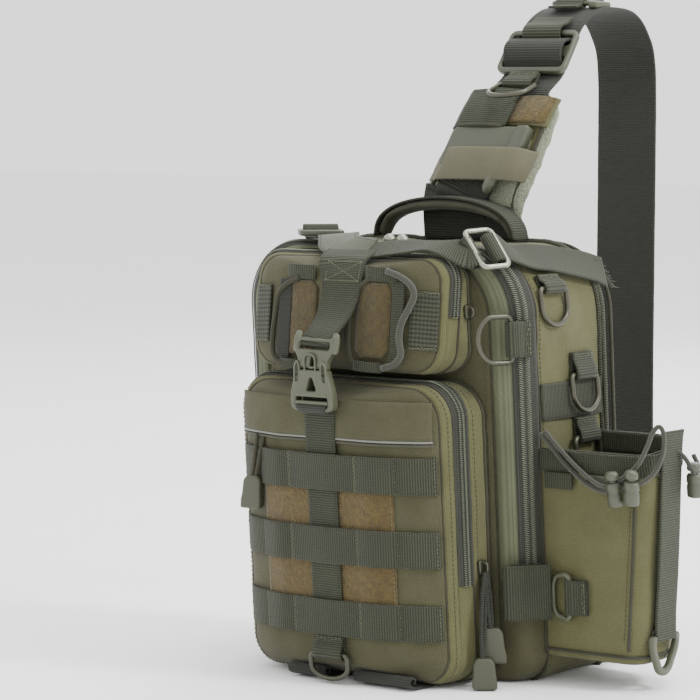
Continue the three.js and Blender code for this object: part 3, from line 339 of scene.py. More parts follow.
def spaced(points, step, extra=()):
    """Points a step apart along a path, with other rows of values carried along."""
    points = np.array(points, float)
    run = lengths(points)
    count = max(3, int(round(run[-1] / step)) + 1)
    at = np.linspace(0, run[-1], count)
    rows = [np.array(row, float) for row in (points, *extra)]
    out = [np.stack([np.interp(at, run, row[:, k]) for k in range(row.shape[1])], 1) for row in rows]
    return out if extra else out[0]


def curved(points, parts=12):
    """A smooth curve through a few points (of any number of values)."""
    p = np.array(points, float)
    p = np.vstack([2 * p[0] - p[1], p, 2 * p[-1] - p[-2]])
    out = []
    for a, b, c, d in zip(p, p[1:], p[2:], p[3:]):
        for t in np.arange(parts) / parts:
            square, cube = 2 * a - 5 * b + 4 * c - d, 3 * b - a - 3 * c + d
            out.append(0.5 * (2 * b + (c - a) * t + square * t**2 + cube * t**3))
    return np.array([*out, p[-2]])


def unit(vectors):
    return vectors / np.maximum(np.linalg.norm(vectors, axis=-1, keepdims=True), 1e-9)


def tangents(path, closed=False):
    if closed:
        return unit(np.roll(path, -1, 0) - np.roll(path, 1, 0))
    return unit(np.gradient(path, axis=0))


def steady_sides(path, closed=False):
    """Directions across a path that don't twist."""
    along = tangents(path, closed)
    side = np.cross(along[0], (0, 0, 1))
    if np.linalg.norm(side) < 0.2:
        side = np.cross(along[0], (0.3, 1, 0.2))
    out = [unit(side)]
    for direction in along[1:]:
        side = out[-1] - direction * np.dot(out[-1], direction)
        out.append(unit(side))
    return np.array(out)


def sweep(path, section, side=None, closed=False, widths=None):
    """Loops of a section along a path: its first axis lies along side, its second stands off."""
    path = np.array(path, float)
    along = tangents(path, closed)
    side = steady_sides(path, closed) if side is None else np.broadcast_to(np.array(side, float), path.shape)
    side = unit(side - along * np.sum(side * along, 1, keepdims=True))
    off = np.cross(side, along)
    widths = np.ones(len(path)) if widths is None else np.array(widths)
    first = section[None, :, 0, None] * side[:, None] * widths[:, None, None]
    return path[:, None] + first + section[None, :, 1, None] * off[:, None]


def circle(radius, sides=12, squash=1.0):
    angle = np.arange(sides) * 2 * math.pi / sides
    return np.stack([radius * np.cos(angle), radius * squash * np.sin(angle)], 1)


def tape_section(width, thick, columns=8):
    """A flat tape with round edges."""
    half, r = width / 2, thick / 2
    top = np.linspace(-half + r, half - r, columns)
    turn = np.linspace(math.pi / 2, -math.pi / 2, 5)[1:-1]
    right = [(half - r + r * math.cos(a), r * math.sin(a)) for a in turn]
    left = [(-x, -y) for x, y in right]
    upper = [(x, r) for x in top]
    lower = [(-x, -r) for x in top]
    return np.array(upper + right + lower + left)


def grid_normals(grid, wrap=False):
    """Unit normals of a grid whose columns may join round."""
    down = np.gradient(grid, axis=0)
    if wrap:
        across = np.roll(grid, -1, 1) - np.roll(grid, 1, 1)
    else:
        across = np.gradient(grid, axis=1)
    return unit(np.cross(across, down))


def waves(points, size, seed, octaves=2):
    """Smooth noise from -1 to 1 at points in millimetres."""
    flat = np.array(points, float).reshape(-1, 3) / size + seed * 7.3
    values = [noise.fractal(Vector(p), 1.0, 2.1, octaves) for p in flat.tolist()]
    return np.array(values).reshape(np.shape(points)[:-1])


# Meshes

sewn_rows = []


def mesh_from(name, points, faces, face_uvs, material):
    mesh = bpy.data.meshes.new(name)
    mesh.from_pydata(world(points).tolist(), [], faces)
    layer = mesh.uv_layers.new(name="cloth")
    layer.data.foreach_set("uv", (np.array(face_uvs, float) * MM).ravel())
    mesh.materials.append(material)
    mesh.shade_smooth()
    return linked(name, mesh)


def grid_piece(name, grid, material, wrap=False, ring=False, caps=False, pole=False, flat_uv=False, inside=None):
    """A mesh from a grid of points. wrap joins the columns, ring the rows; caps closes both ends, pole the first."""
    rows, columns = grid.shape[:2]
    points = list(grid.reshape(-1, 3))
    mid_row, mid_column = grid[rows // 2], grid[:, columns // 2]
    across = lengths(np.vstack([mid_row, mid_row[:1]]) if wrap else mid_row)
    down = lengths(np.vstack([mid_column, mid_column[:1]]) if ring else mid_column)
    faces, uvs = [], []
    for i in range(rows if ring else rows - 1):
        k = (i + 1) % rows
        for j in range(columns if wrap else columns - 1):
            m = (j + 1) % columns
            faces.append((i * columns + j, i * columns + m, k * columns + m, k * columns + j))
            uvs += [(down[a], across[b]) for a, b in ((i, j), (i, j + 1), (i + 1, j + 1), (i + 1, j))]
    ends = [(0, 1)] if pole else []
    ends += [(0, 1), (rows - 1, -1)] if caps else []
    for row, way in ends:
        middle = len(points)
        points.append(grid[row].mean(0))
        for j in range(columns):
            m = (j + 1) % columns
            pair = (row * columns + m, row * columns + j) if way > 0 else (row * columns + j, row * columns + m)
            faces.append((middle, *pair))
            uvs += [(0, 0), (1, 0), (1, 1)]
    if flat_uv:
        places = np.array(points)
        uvs = [(places[v][0], places[v][2]) for face in faces for v in face]
    obj = mesh_from(name, np.array(points), faces, uvs, material)
    point_outwards(obj, inside)
    return obj


def point_outwards(obj, inside=None):
    """Turns the faces outwards: a closed mesh by itself, an open one away from a point inside."""
    mesh = bmesh.new()
    mesh.from_mesh(obj.data)
    if inside is None:
        bmesh.ops.recalc_face_normals(mesh, faces=mesh.faces)
        if mesh.calc_volume(signed=True) < 0:
            bmesh.ops.reverse_faces(mesh, faces=mesh.faces)
    else:
        centre = Vector(world(inside))
        total = sum(face.normal.dot(face.calc_center_median() - centre) * face.calc_area() for face in mesh.faces)
        if total < 0:
            bmesh.ops.reverse_faces(mesh, faces=mesh.faces)
    mesh.to_mesh(obj.data)
    mesh.free()


def settle(obj, node=None, thick=0):
    """Gives a finished piece its wall and its body, and hides the CAD part of the node that it stands for."""
    if thick:
        wall = obj.modifiers.new("wall", "SOLIDIFY")
        wall.thickness = thick * MM
        wall.offset = -1
    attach(obj, ROOT)
    if node:
        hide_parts(node)
    return obj


def joined(name, objects):
    """Several meshes as one piece; the first gives its place among the materials."""
    bpy.ops.object.select_all(action="DESELECT")
    for obj in objects:
        obj.select_set(True)
    bpy.context.view_layer.objects.active = objects[0]
    bpy.ops.object.join()
    objects[0].name = name
    return objects[0]


def tube(name, path, radius, material, closed=False, sides=10, step=2.0):
    """A round cord, wire or piping along a path."""
    path = np.array(path, float)
    dense = spaced(np.vstack([path, path[:1]]), step)[:-1] if closed else spaced(path, step)
    grid = sweep(dense, circle(radius, sides), closed=closed)
    return grid_piece(name, grid, material, wrap=True, ring=closed, caps=not closed)


def round_piece(name, slot, node, path, radius, material, **options):
    """A tube that is settled as part of a node."""
    return settle(tube(name, path, radius, material, **options), node)


def stitch(path, out, kind="pale"):
    """Keeps a line of stitches for the sewing machine at the end."""
    path = np.array(path, float)
    sewn_rows.append((kind, path, np.broadcast_to(np.array(out, float), path.shape)))


# A section drawn this wide keeps its round edges narrow when it is brought to a width of one
WIDE = 100.0


def tape(name, node, centres, across, width, material=WEB, thick=WEB_THICK, step=2.5, seams=0.0, smooth=True,
         wobble=0.25, columns=8, slot="webbing"):
    """A length of webbing through a few points. across and width may change from point to point.
    seams is how far in from each edge its stitches run, or 0 for none."""
    centres = np.array(centres, float)
    across = np.broadcast_to(np.array(across, float), centres.shape)
    widths = np.broadcast_to(np.array(width, float), len(centres))[:, None]
    if smooth:
        centres, across, widths = (curved(part) for part in (centres, across, widths))
    path, sides, wide = spaced(centres, step, (across, widths))
    wide = wide[:, 0] + wobble * waves(path, 9, len(name))
    section = tape_section(WIDE, thick, columns) / np.array([WIDE, 1.0])
    grid = sweep(path, section, sides, widths=wide)
    obj = grid_piece(name, grid, material, wrap=True, caps=True)
    if seams:
        along = tangents(path)
        cross = unit(sides - along * np.sum(sides * along, 1, keepdims=True))
        off = np.cross(cross, along)
        for way in (-1, 1):
            shift = way * (wide / 2 - seams)
            stitch(path + cross * shift[:, None] + off * thick * 0.52, off, "dark")
    return settle(obj, node)


# The bag's shells

CORNER_STEPS = 16
SIDE_STEPS = 64
FLAT_STEPS = 44


def rounded(half, low, high, corner, foot):
    """x and z round an outline, from the bottom's left end over the right side to the top."""
    x, z = [], []

    def arc(centre_x, centre_z, radius, start):
        for angle in np.radians(start + 90 * (np.arange(CORNER_STEPS) + 0.5) / CORNER_STEPS):
            x.append(centre_x + radius * np.cos(angle))
            z.append(centre_z + radius * np.sin(angle))

    def line(x0, z0, x1, z1, steps):
        for t in (np.arange(steps) + 0.5) / steps:
            x.append(x0 + (x1 - x0) * t)
            z.append(z0 + (z1 - z0) * t)

    line(foot - half, low, half - foot, low, FLAT_STEPS)
    arc(half - foot, low + foot, foot, -90)
    line(half, low + foot, half, high - corner, SIDE_STEPS)
    arc(half - corner, high - corner, corner, 0)
    line(half - corner, high, corner - half, high, FLAT_STEPS)
    arc(corner - half, high - corner, corner, 90)
    line(-half, high - corner, -half, low + foot, SIDE_STEPS)
    arc(foot - half, low + foot, foot, 180)
    return np.array(x), np.array(z)


class Bag:
    """A pocket or body: rows run from the middle of its face to its side wall."""

    def __init__(self, half, front, low, high, corner, foot, edge, tilt, rows):
        self.half, self.front, self.low, self.high = half, front, low, high
        self.corner, self.foot, self.edge, self.tilt = corner, foot, edge, tilt
        widths, depths, insets = zip(*rows)
        index = range(len(rows))
        self.width, self.depth, self.inset = eased(index, widths), eased(index, depths), eased(index, insets)
        self.face_depth = eased((0, *widths[:-1], 1.02), (0, *depths[:-1], depths[-2] + 8))

    def y(self, z, depth):
        return self.front + depth + self.tilt * (z - self.low)

    def loop(self, row, grow=0.0):
        """The outline at a row of the shell, counted from the flat middle outwards."""
        inset = self.edge * self.inset(row) - grow
        x, z = rounded(self.half * self.width(row) + grow, self.low + inset, self.high - inset, self.corner,
                       self.foot)
        facing = max(0.0, 1 - row / 4)
        return np.stack([x, self.y(z, self.depth(row)) - grow * facing, z], 1)

    def wall(self, depth_of, grow=0.0):
        """The outline on the side wall; depth_of gives y for x and z."""
        x, z = rounded(self.half + grow, self.low - grow, self.high + grow, self.corner, self.foot)
        return np.stack([x, depth_of(x, z), z], 1)

    def rings(self, count):
        """Outlines from near the middle of the face out to its first row."""
        first = self.loop(0)
        centre = first.mean(0)
        return [centre + (first - centre) * share for share in np.linspace(0.04, 1, count)[:-1]]

    def at(self, x, z, lift=0.0):
        """A place on the face."""
        depth = self.face_depth(np.abs(x) / self.half)
        return np.stack([np.asarray(x, float) + 0 * z, self.y(z, depth) - lift + 0 * x, z + 0 * x], -1)


BODY = Bag(BODY_HALF, BODY_FRONT, 0, BODY_TOP, BODY_CORNER, BODY_FOOT, 5, 0, [
    (0.51, 0, 1), (0.786, 8, 0.66), (0.906, 12, 0.4), (0.969, 19, 0.02), (0.995, 28, 0), (1, 40, 0)])
LOWER = Bag(89.5, -80.8, 2.6, 207, 24, 20, 12, 0, [
    (0.37, 0, 1), (0.59, 4.1, 0.8), (0.75, 9.6, 0.55), (0.895, 17.8, 0.25), (0.979, 26, 0.05), (1, 43, 0)])
UPPER_DEPTH = 29
UPPER = Bag(82, -67, 213, 291, 17, 17, 8, 0.167, [
    (0.37, 0, 1), (0.59, 2.7, 0.8), (0.75, 6.3, 0.55), (0.895, 11.6, 0.25), (0.979, 17, 0.05), (1, UPPER_DEPTH, 0)])
BODY_INSIDE, LOWER_INSIDE, UPPER_INSIDE = (0, 30, 150), (0, -40, 100), (0, -30, 252)
LOWER_SEAM, UPPER_SEAM = 3.3, 3.35
LOWER_REAR = -37.8
ZIP_FOOT, TOP_ZIP_FOOT = 70, 251


def rows_between(bag, start, end, count, grow=0.0):
    return [bag.loop(row, grow) for row in np.linspace(start, end, count)]


def outward(grid, inside, wrap=True):
    """Normals of a grid that point away from a place inside."""
    out = grid_normals(grid, wrap)
    sign = np.sign(np.sum(out * (grid - np.array(inside, float))))
    return out * sign


def shell_part(name, node, loops, material, inside, seed, amount, size, seams=(), pull=0.3, face=False):
    """One cloth panel of a shell, gathered beside the seams at given rows. A face is closed in its middle."""
    grid = np.array(loops)
    out = outward(grid, inside)
    down = lengths(grid[:, grid.shape[1] // 3])
    shift = amount * waves(grid, size, seed, 3)
    gathers = pull * waves(grid * np.array([1, 0.35, 1]), 6, seed + 3, 1)
    for row in seams:
        away = np.abs(down - down[row])
        shift = shift + gathers * np.exp(-away / 5)[:, None] - 0.6 * np.exp(-away / 1.5)[:, None]
    grid = grid + out * shift[..., None]
    obj = grid_piece(name, grid, material, wrap=True, pole=face, flat_uv=face, inside=inside)
    settle(obj, node, thick=CLOTH_THICK)
    return grid, out


def seam_piping(name, grid, out, row, radius, lift, material=EDGE):
    """Round piping all round a seam."""
    round_piece(name, "cloth", None, grid[row] + out[row] * lift, radius, material, closed=True, sides=8)


def thread_on(grid, out, row):
    """Stitches all round a shell at one of its rows."""
    path = grid[row] + out[row] * SEWN_LIFT
    stitch(np.vstack([path, path[:1]]), np.vstack([out[row], out[row][:1]]), "olive")


teeth_rows = []


def arch(loops, start):
    """The part of a closed outline from one foot over the top to the other, cut at a height."""
    first = FLAT_STEPS + CORNER_STEPS
    last = first + SIDE_STEPS + CORNER_STEPS + FLAT_STEPS + CORNER_STEPS + SIDE_STEPS
    part = loops[:, first:last]
    keep = part[:, :, 2].mean(0) > start
    return part[:, keep]


def zip_run(name, node, loops, foot, coil, middle=0.5):
    """A zip on a band between two outlines: its tape, two rows of teeth and two of stitches."""
    grid = arch(np.array(loops), foot)
    out = outward(grid, BODY_INSIDE, wrap=False)
    grid = grid + out * (0.15 * waves(grid, 12, 5))[..., None]
    last = len(grid) - 1
    low = int(last * middle)
    part = last * middle - low
    line = grid[low] * (1 - part) + grid[min(low + 1, last)] * part
    across = unit(grid[-1] - grid[0])
    off = out[low]
    down = lengths(grid[:, grid.shape[1] // 2])
    ridge = 0.7 * np.exp(-((down - down[-1] * middle) / (coil * 0.32)) ** 2)
    grid = grid + out * ridge[:, None, None]
    # The band under the teeth takes the darker zip tape: painted shade of the teeth along with the tape's own darker
    # colour.
    settle(grid_piece(name, grid, ZIP_SHADED, inside=BODY_INSIDE), node, thick=0.9)
    for side in (-1, 1):
        teeth_rows.append((line + across * side * coil * 0.24 + off * 1.05, off, side, coil))
        stitch(line + across * side * coil * 0.72 + off * 0.35, off, "dark")


def seat(x):
    """How far back the body's face lies at x, less the gap."""
    return BODY.at(x, 0 * x)[..., 1] - GAP


# Main body
front = BODY.rings(10) + rows_between(BODY, 0, 1.15, 12)
grid, out = shell_part("body_front", "main_body", front, CLOTH, BODY_INSIDE, 1, 0.8, 60, (-1,), face=True)
seam_piping("body_front_seam", grid, out, -1, 0.7, 0.1)
thread_on(grid, out, -3)
band = rows_between(BODY, 1.15, 4, 13) + [BODY.wall(lambda x, z: 0 * x + y) for y in (6.5, 8)]
shell_part("body_band", "main_body", band, CLOTH, BODY_INSIDE, 2, 0.25, 30)
sides = [BODY.wall(lambda x, z: 0 * x + y, 0.5) for y in np.linspace(7.5, BODY_BACK, 24)]
grid, out = shell_part("body_side", "main_body", sides, CLOTH_LIT, BODY_INSIDE, 4, 1.1, 34, (0, -1), 0.4)
seam_piping("body_side_seam", grid, out, 0, 0.9, 0.2)
thread_on(grid, out, 1)
seam_piping("body_back_binding", grid, out, -1, 2.3, 0.9, BINDING)
pale = arch(np.array(rows_between(BODY, 1.2, 2.35, 7, 0.75)), ZIP_FOOT)
settle(grid_piece("main_zip_tape_pale", pale, ZIP_TAPE, inside=BODY_INSIDE), "main_zipper", thick=0.9)
band = rows_between(BODY, 2.2, 4, 12, 1.1) + [BODY.wall(lambda x, z: 0 * x + 5.8, 0.9)]
zip_run("main_zip_tape", "main_zipper", band, ZIP_FOOT, 11, middle=0.4)

# Lower pocket
front = LOWER.rings(10) + rows_between(LOWER, 0, LOWER_SEAM, 22)
grid, out = shell_part("lower_front", "lower_pocket", front, CLOTH, LOWER_INSIDE, 11, 0.7, 48, (-1,), face=True)
seam_piping("lower_front_seam", grid, out, -1, 0.6, 0.0)
border = rows_between(LOWER, LOWER_SEAM, 4.15, 8, 0.2)
grid, out = shell_part("lower_border", "lower_pocket", border, CLOTH_LIT, LOWER_INSIDE, 12, 0.35, 25, (0, -1),
                       0.35)
thread_on(grid, out, 4)
under = [LOWER.loop(row) for row in (4.1, 4.5, 5)]
rear = [LOWER.wall(lambda x, z, t=t: (1 - t) * LOWER_REAR + t * seat(x), 0.2) for t in np.linspace(0, 1, 8)]
grid, out = shell_part("lower_rear", "lower_pocket", under + rear, CLOTH_LIT, LOWER_INSIDE, 13, 0.5, 28, (3, -1))
seam_piping("lower_rear_seam", grid, out, 3, 0.7, 0.2)
seam_piping("lower_foot_piping", grid, out, -2, 1.15, 0.3)
thread_on(grid, out, 5)
zip_run("lower_zip_tape", "lower_zipper", [LOWER.loop(row, 0.7) for row in np.linspace(4.12, 5, 9)], ZIP_FOOT, 7.6)

# Top pocket
front = UPPER.rings(9) + rows_between(UPPER, 0, UPPER_SEAM, 20)
grid, out = shell_part("upper_front", "top_pocket", front, CLOTH, UPPER_INSIDE, 21, 0.6, 34, (-1,), face=True)
seam_piping("upper_front_seam", grid, out, -1, 0.6, 0.0)
border = rows_between(UPPER, UPPER_SEAM, 4.15, 7, 0.2)
shell_part("upper_border", "top_pocket", border, CLOTH_LIT, UPPER_INSIDE, 22, 0.35, 22, (0, -1))
under = [UPPER.loop(row) for row in (4.1, 4.5, 5)]
rear = [UPPER.wall(lambda x, z, t=t: (1 - t) * UPPER.y(z, UPPER_DEPTH) + t * seat(x), 0.2)
        for t in np.linspace(0, 1, 6)]
grid, out = shell_part("upper_rear", "top_pocket", under + rear, CLOTH_LIT, UPPER_INSIDE, 23, 0.4, 24, (3, -1))
seam_piping("upper_rear_seam", grid, out, 3, 0.8, 0.3)
seam_piping("upper_foot_piping", grid, out, -2, 1.0, 0.3)
band = [UPPER.loop(row, 0.7) for row in np.linspace(4.12, 5, 8)]
zip_run("upper_zip_tape", "top_zipper", band, TOP_ZIP_FOOT, 6.6)


# Flat shapes, rings, loops and plates

def as_unit(vector):
    return unit(np.array(vector, float))


def filleted(corners, radius, parts=6):
    """A closed flat path with its corners rounded."""
    corners = np.array(corners, float)
    radii = np.broadcast_to(radius, len(corners))
    out = []
    for before, here, after, r in zip(np.roll(corners, 1, 0), corners, np.roll(corners, -1, 0), radii):
        a = here + (before - here) * min(0.5, r / np.linalg.norm(before - here))
        b = here + (after - here) * min(0.5, r / np.linalg.norm(after - here))
        c, d = a + (here - a) * 0.55, b + (here - b) * 0.55
        for t in np.linspace(0, 1, parts):
            out.append((1 - t)**3 * a + 3 * t * (1 - t)**2 * c + 3 * t * t * (1 - t) * d + t**3 * b)
    return np.array(out)


def box(width, height, x=0.0, y=0.0):
    return [(x - width / 2, y - height / 2), (x + width / 2, y - height / 2),
            (x + width / 2, y + height / 2), (x - width / 2, y + height / 2)]


def flat_at(flat, place, right, up):
    flat = np.array(flat, float)
    return np.array(place, float) + flat[:, :1] * np.array(right, float) + flat[:, 1:] * np.array(up, float)


def wire_ring(name, flat, place, right, up, wire=RING_WIRE, material=METAL):
    """A ring of round wire through flat corners."""
    path = flat_at(flat, place, right, up)
    round_piece(name, "metal", name, path, wire, material, closed=True, sides=12, step=1.1)


def d_shape(width, drop):
    half = width / 2
    return filleted([(-half, 0), (half, 0), (half, -drop), (-half, -drop)], (3.5, 3.5, half, half), 10)


def box_stitch(centre, a, b, off, kind="pale"):
    """A sewn rectangle with a cross in it; a and b reach from its centre to its edges."""
    centre, a, b = (np.array(part, float) for part in (centre, a, b))
    corners = [centre - a - b, centre + a - b, centre + a + b, centre - a + b, centre - a - b]
    stitch(spaced(corners, 1.0), off, kind)
    stitch([corners[0], corners[2]], off, kind)
    stitch([corners[1], corners[3]], off, kind)


def bar_tack(start, end, off, sway=0.8):
    """A dense zigzag of thread between two places."""
    start, end = np.array(start, float), np.array(end, float)
    across = unit(np.cross(off, end - start))
    count = max(4, int(np.linalg.norm(end - start) / 1.2))
    side = np.where(np.arange(count) % 2, 1, -1)[:, None]
    stitch(start + (end - start) * np.linspace(0, 1, count)[:, None] + across * side * sway, off, "tight")


def folded_loop(name, place, u, v, tail, bar):
    """Webbing folded round a bar: u runs from the bar along the seat and v stands off the seat."""
    side = np.cross(u, v)
    hub, turn = bar + WEB_THICK, bar + WEB_THICK / 2
    flat = [(tail, WEB_THICK / 2), (bar, WEB_THICK / 2)]
    flat += [(turn * math.cos(a), hub + turn * math.sin(a)) for a in np.linspace(-1.5, -4.6, 14)]
    flat += [(tail * 0.3, hub + turn * 0.75), (tail * 0.62, WEB_THICK * 2.1), (tail, WEB_THICK * 1.6)]
    tape(name, name, flat_at(flat, place + v * GAP, u, v), side, LOOP_WIDE, step=0.9, smooth=False)
    sewn = place + u * tail * 0.72 + v * (GAP + WEB_THICK * 2.35)
    box_stitch(sewn, u * tail * 0.2, side * (LOOP_WIDE / 2 - 2.5), v)


def ring_in_loop(ring_name, loop_name, place, u, v, tail, swing=0.0, flat=None, wire=RING_WIRE, material=METAL):
    """A ring hanging in its sewn loop; swing turns it off the seat."""
    place, u, v = np.array(place, float), as_unit(u), as_unit(v)
    folded_loop(loop_name, place, u, v, tail, wire + GAP)
    bar = place + v * (GAP + WEB_THICK + wire + GAP)
    hang = u * math.cos(swing) - v * math.sin(swing)
    wire_ring(ring_name, d_shape(31, 25) if flat is None else flat, bar, np.cross(u, v), hang, wire, material)


def plate(name, node, outline, holes, thick, place, right, up, material=PLASTIC, edge=0.8):
    """A moulded plate with openings and soft edges."""
    curve = bpy.data.curves.new(name, "CURVE")
    curve.dimensions, curve.fill_mode = "2D", "BOTH"
    curve.extrude, curve.bevel_depth, curve.bevel_resolution = thick / 2 - edge, edge, 2
    curve.offset = -edge
    for loop in [outline, *holes]:
        line = curve.splines.new("POLY")
        line.points.add(len(loop) - 1)
        for point, (u, v) in zip(line.points, loop):
            point.co = (u, v, 0, 1)
        line.use_cyclic_u = True
    source = linked(name + "_outline", curve)
    mesh = bpy.data.meshes.new_from_object(source.evaluated_get(bpy.context.evaluated_depsgraph_get()))
    bpy.data.objects.remove(source)
    flat = np.array([vertex.co[:] for vertex in mesh.vertices])
    right, up = as_unit(right), as_unit(up)
    placed = world(flat_at(flat[:, :2], place, right, up) + flat[:, 2:] * np.cross(right, up))
    mesh.vertices.foreach_set("co", placed.ravel())
    work = bmesh.new()
    work.from_mesh(mesh)
    bmesh.ops.remove_doubles(work, verts=work.verts, dist=0.00002)
    bmesh.ops.recalc_face_normals(work, faces=work.faces)
    work.to_mesh(mesh)
    work.free()
    mesh.materials.clear()
    mesh.materials.append(material)
    mesh.shade_smooth()
    mesh.set_sharp_from_angle(angle=0.7)
    return settle(linked(name, mesh), node)


def turned_piece(name, node, profile, place, axis, material=PLASTIC, squash=1.0):
    """A round piece from (radius, height) pairs along an axis."""
    profile = np.array(profile, float)
    axis = as_unit(axis)
    heights = np.array(place, float) + profile[:, 1:] * axis
    side = steady_sides(np.array([heights[0], heights[0] + axis]))[0]
    off = np.cross(axis, side)
    ring = circle(1.0, 20, squash)
    grid = heights[:, None] + profile[:, 0, None, None] * (ring[None, :, :1] * side + ring[None, :, 1:] * off)
    obj = grid_piece(name, grid, material, wrap=True, caps=True)
    obj.data.set_sharp_from_angle(angle=0.8)
    return settle(obj, node)


def soft_section(wide, thick, wide_power, thick_power, count):
    """A section between an oval and an oblong: the lower the powers, the squarer."""
    turns = [(math.cos(a), math.sin(a)) for a in np.linspace(0, 2 * np.pi, count, endpoint=False)]
    return np.array([(wide * np.sign(c) * abs(c)**wide_power, thick * np.sign(s) * abs(s)**thick_power)
                     for c, s in turns])


def strip(name, edge_a, edge_b, material=WEB, **options):
    """Webbing between two edges given as points."""
    a, b = np.array(edge_a, float), np.array(edge_b, float)
    tape(name, name, (a + b) / 2, b - a, np.linalg.norm(b - a, axis=1), material, **options)


def face_patch(name, node, bag, left, right, low, high, material, lift=GAP, thick=1.0, cut=0.0):
    """A patch sewn on a pocket's face, with its corners cut; lift may be a function of z."""
    z = np.linspace(low, high, max(6, int((high - low) / 2.5)))[:, None]
    inset = np.maximum(0, cut - np.minimum(z - low, high - z))
    share = np.linspace(0, 1, max(6, int((right - left) / 2.5)))
    x = left + inset + (right - left - 2 * inset) * share
    rise = lift(z) if callable(lift) else lift
    grid = bag.at(x, z, rise + thick)
    grid = grid + np.array([0.0, 0.3, 0.0]) * waves(grid, 14, len(name))[..., None]
    obj = grid_piece(name, grid, material, inside=BODY_INSIDE)
    return settle(obj, node, thick=thick)


PUFF_VOXEL, PUFF_SHRINK, PUFF_CAP = 4.0, 0.5, 2.2
PUFF_PRESSURE, PUFF_FRAMES = 4.0, 20


def puffed(obj):
    """Blows a padded piece up by a short run of cloth, as fabric round foam. No point moves past the cap."""
    scene = bpy.context.scene
    remesh = obj.modifiers.new("remesh", "REMESH")
    remesh.mode, remesh.voxel_size = "VOXEL", PUFF_VOXEL * MM
    soften = obj.modifiers.new("soften", "SMOOTH")
    soften.factor, soften.iterations = 0.5, 9
    graph = bpy.context.evaluated_depsgraph_get()
    mesh = bpy.data.meshes.new_from_object(obj.evaluated_get(graph))
    obj.modifiers.clear()
    obj.data = mesh
    start, normal = np.empty((len(mesh.vertices), 3)), np.empty((len(mesh.vertices), 3))
    mesh.vertices.foreach_get("co", start.ravel())
    mesh.vertices.foreach_get("normal", normal.ravel())
    start -= normal * PUFF_SHRINK * MM
    mesh.vertices.foreach_set("co", start.ravel())
    cloth = obj.modifiers.new("cloth", "CLOTH")
    cloth.settings.use_pressure = True
    cloth.settings.uniform_pressure_force = PUFF_PRESSURE
    cloth.settings.effector_weights.gravity = 0
    for number in range(PUFF_FRAMES):
        scene.frame_set(number + 1)
    graph = bpy.context.evaluated_depsgraph_get()
    blown = np.empty((len(mesh.vertices), 3))
    obj.evaluated_get(graph).data.vertices.foreach_get("co", blown.ravel())
    move = blown - start
    reach = np.linalg.norm(move, axis=1, keepdims=True)
    move *= np.minimum(1, PUFF_CAP * MM / np.maximum(reach, 1e-9))
    obj.modifiers.clear()
    mesh.vertices.foreach_set("co", (start + move).ravel())
    mesh.polygons.foreach_set("use_smooth", [True] * len(mesh.polygons))
    mesh.update()
    scene.frame_set(1)
    rounder = obj.modifiers.new("round", "SUBSURF")
    rounder.levels = rounder.render_levels = 1
    return obj


# Webbing and patches on the lower pocket
FRONT = (0, -1, 0)
PATCH_HALF = 55.6
ROW_TACKS = np.array([-80, -PATCH_HALF, -27.8, 27.8, PATCH_HALF, 80])
ON_PATCH, ROW_SLACK, TAPE_HALF = 1.6, 0.053, 0.8


def row_lift(x):
    """How far a webbing row stands off the pocket: it bows out between its tacks."""
    bay = np.clip(np.searchsorted(ROW_TACKS, x) - 1, 0, len(ROW_TACKS) - 2)
    start, end = ROW_TACKS[bay], ROW_TACKS[bay + 1]
    share = np.clip((x - start) / (end - start), 0, 1)
    seat_lift = np.where(np.abs(x) < PATCH_HALF, ON_PATCH, GAP)
    return ROW_SLACK * (end - start) * np.sin(np.pi * share) + seat_lift + TAPE_HALF


face_patch("hook_panel", "hook_panel", LOWER, -54.4, 54.4, 55, 135, LOOPS)
for side in (-1, 1):
    edge = np.array([LOWER.at(side * 52.8, z, 1.45) for z in np.linspace(56, 134, 60)])
    stitch(edge, FRONT, "pale")
centre_z = np.linspace(33.8, 206, 60)
centre_path = LOWER.at(0 * centre_z, centre_z, ON_PATCH + TAPE_HALF)
tape("centre_webbing", "centre_webbing", centre_path, (1, 0, 0), 25, WEB, smooth=False, seams=2.2)
for number, top in ((1, 158.8), (2, 108.8), (3, 58.8)):
    x = np.linspace(-81.5, 81.5, 160)
    row_path = LOWER.at(x, top - 12.5, row_lift(x) + 0.25 * waves(np.stack([x, 0 * x, 0 * x + top], 1), 16, number))
    name = f"molle_row_{number}"
    tape(name, name, row_path, (0, 0, -1), 25, smooth=False, step=1.6, wobble=0.35, columns=12)
    for x in ROW_TACKS:
        place = LOWER.at(x, 0 * x, row_lift(x) + 0.85)
        bar_tack(place + (0, 0, top - 24.4), place + (0, 0, top - 0.6), FRONT)


def flap_lift(z):
    return 0.1 + 1.5 * np.clip((196 - z) / 26, 0, 1)


# Panel above the slit pocket, and its shining piping
face_patch("flap_panel", "lower_pocket", LOWER, -80, 80, 170, 196, CLOTH, lift=flap_lift, thick=0.8)
x = np.linspace(-80, 80, 90)
silver_sag = 0.5 * waves(LOWER.at(x, 0 * x, 0), 40, 3)
silver_path = LOWER.at(x, 169.3 + 0 * x, 1.9 + 0 * x) + np.array([0, 0, 1]) * silver_sag[:, None]
round_piece("silver_piping", "cloth", "lower_pocket", silver_path, 0.85, SILVER, sides=10)
round_piece("slit_shadow_welt", "cloth", "lower_pocket", silver_path + np.array([0, 0.9, -2.2]), 1.0, LINING,
            sides=8)
stitch(silver_path + np.array([0, 0.1, 3.4]), FRONT, "olive")
ring_in_loop("bottom_d_ring", "bottom_ring_loop", (0, -80.8, 20.5), (0, 0, 1), (0, -1, 0), 13, flat=d_shape(31, 17))

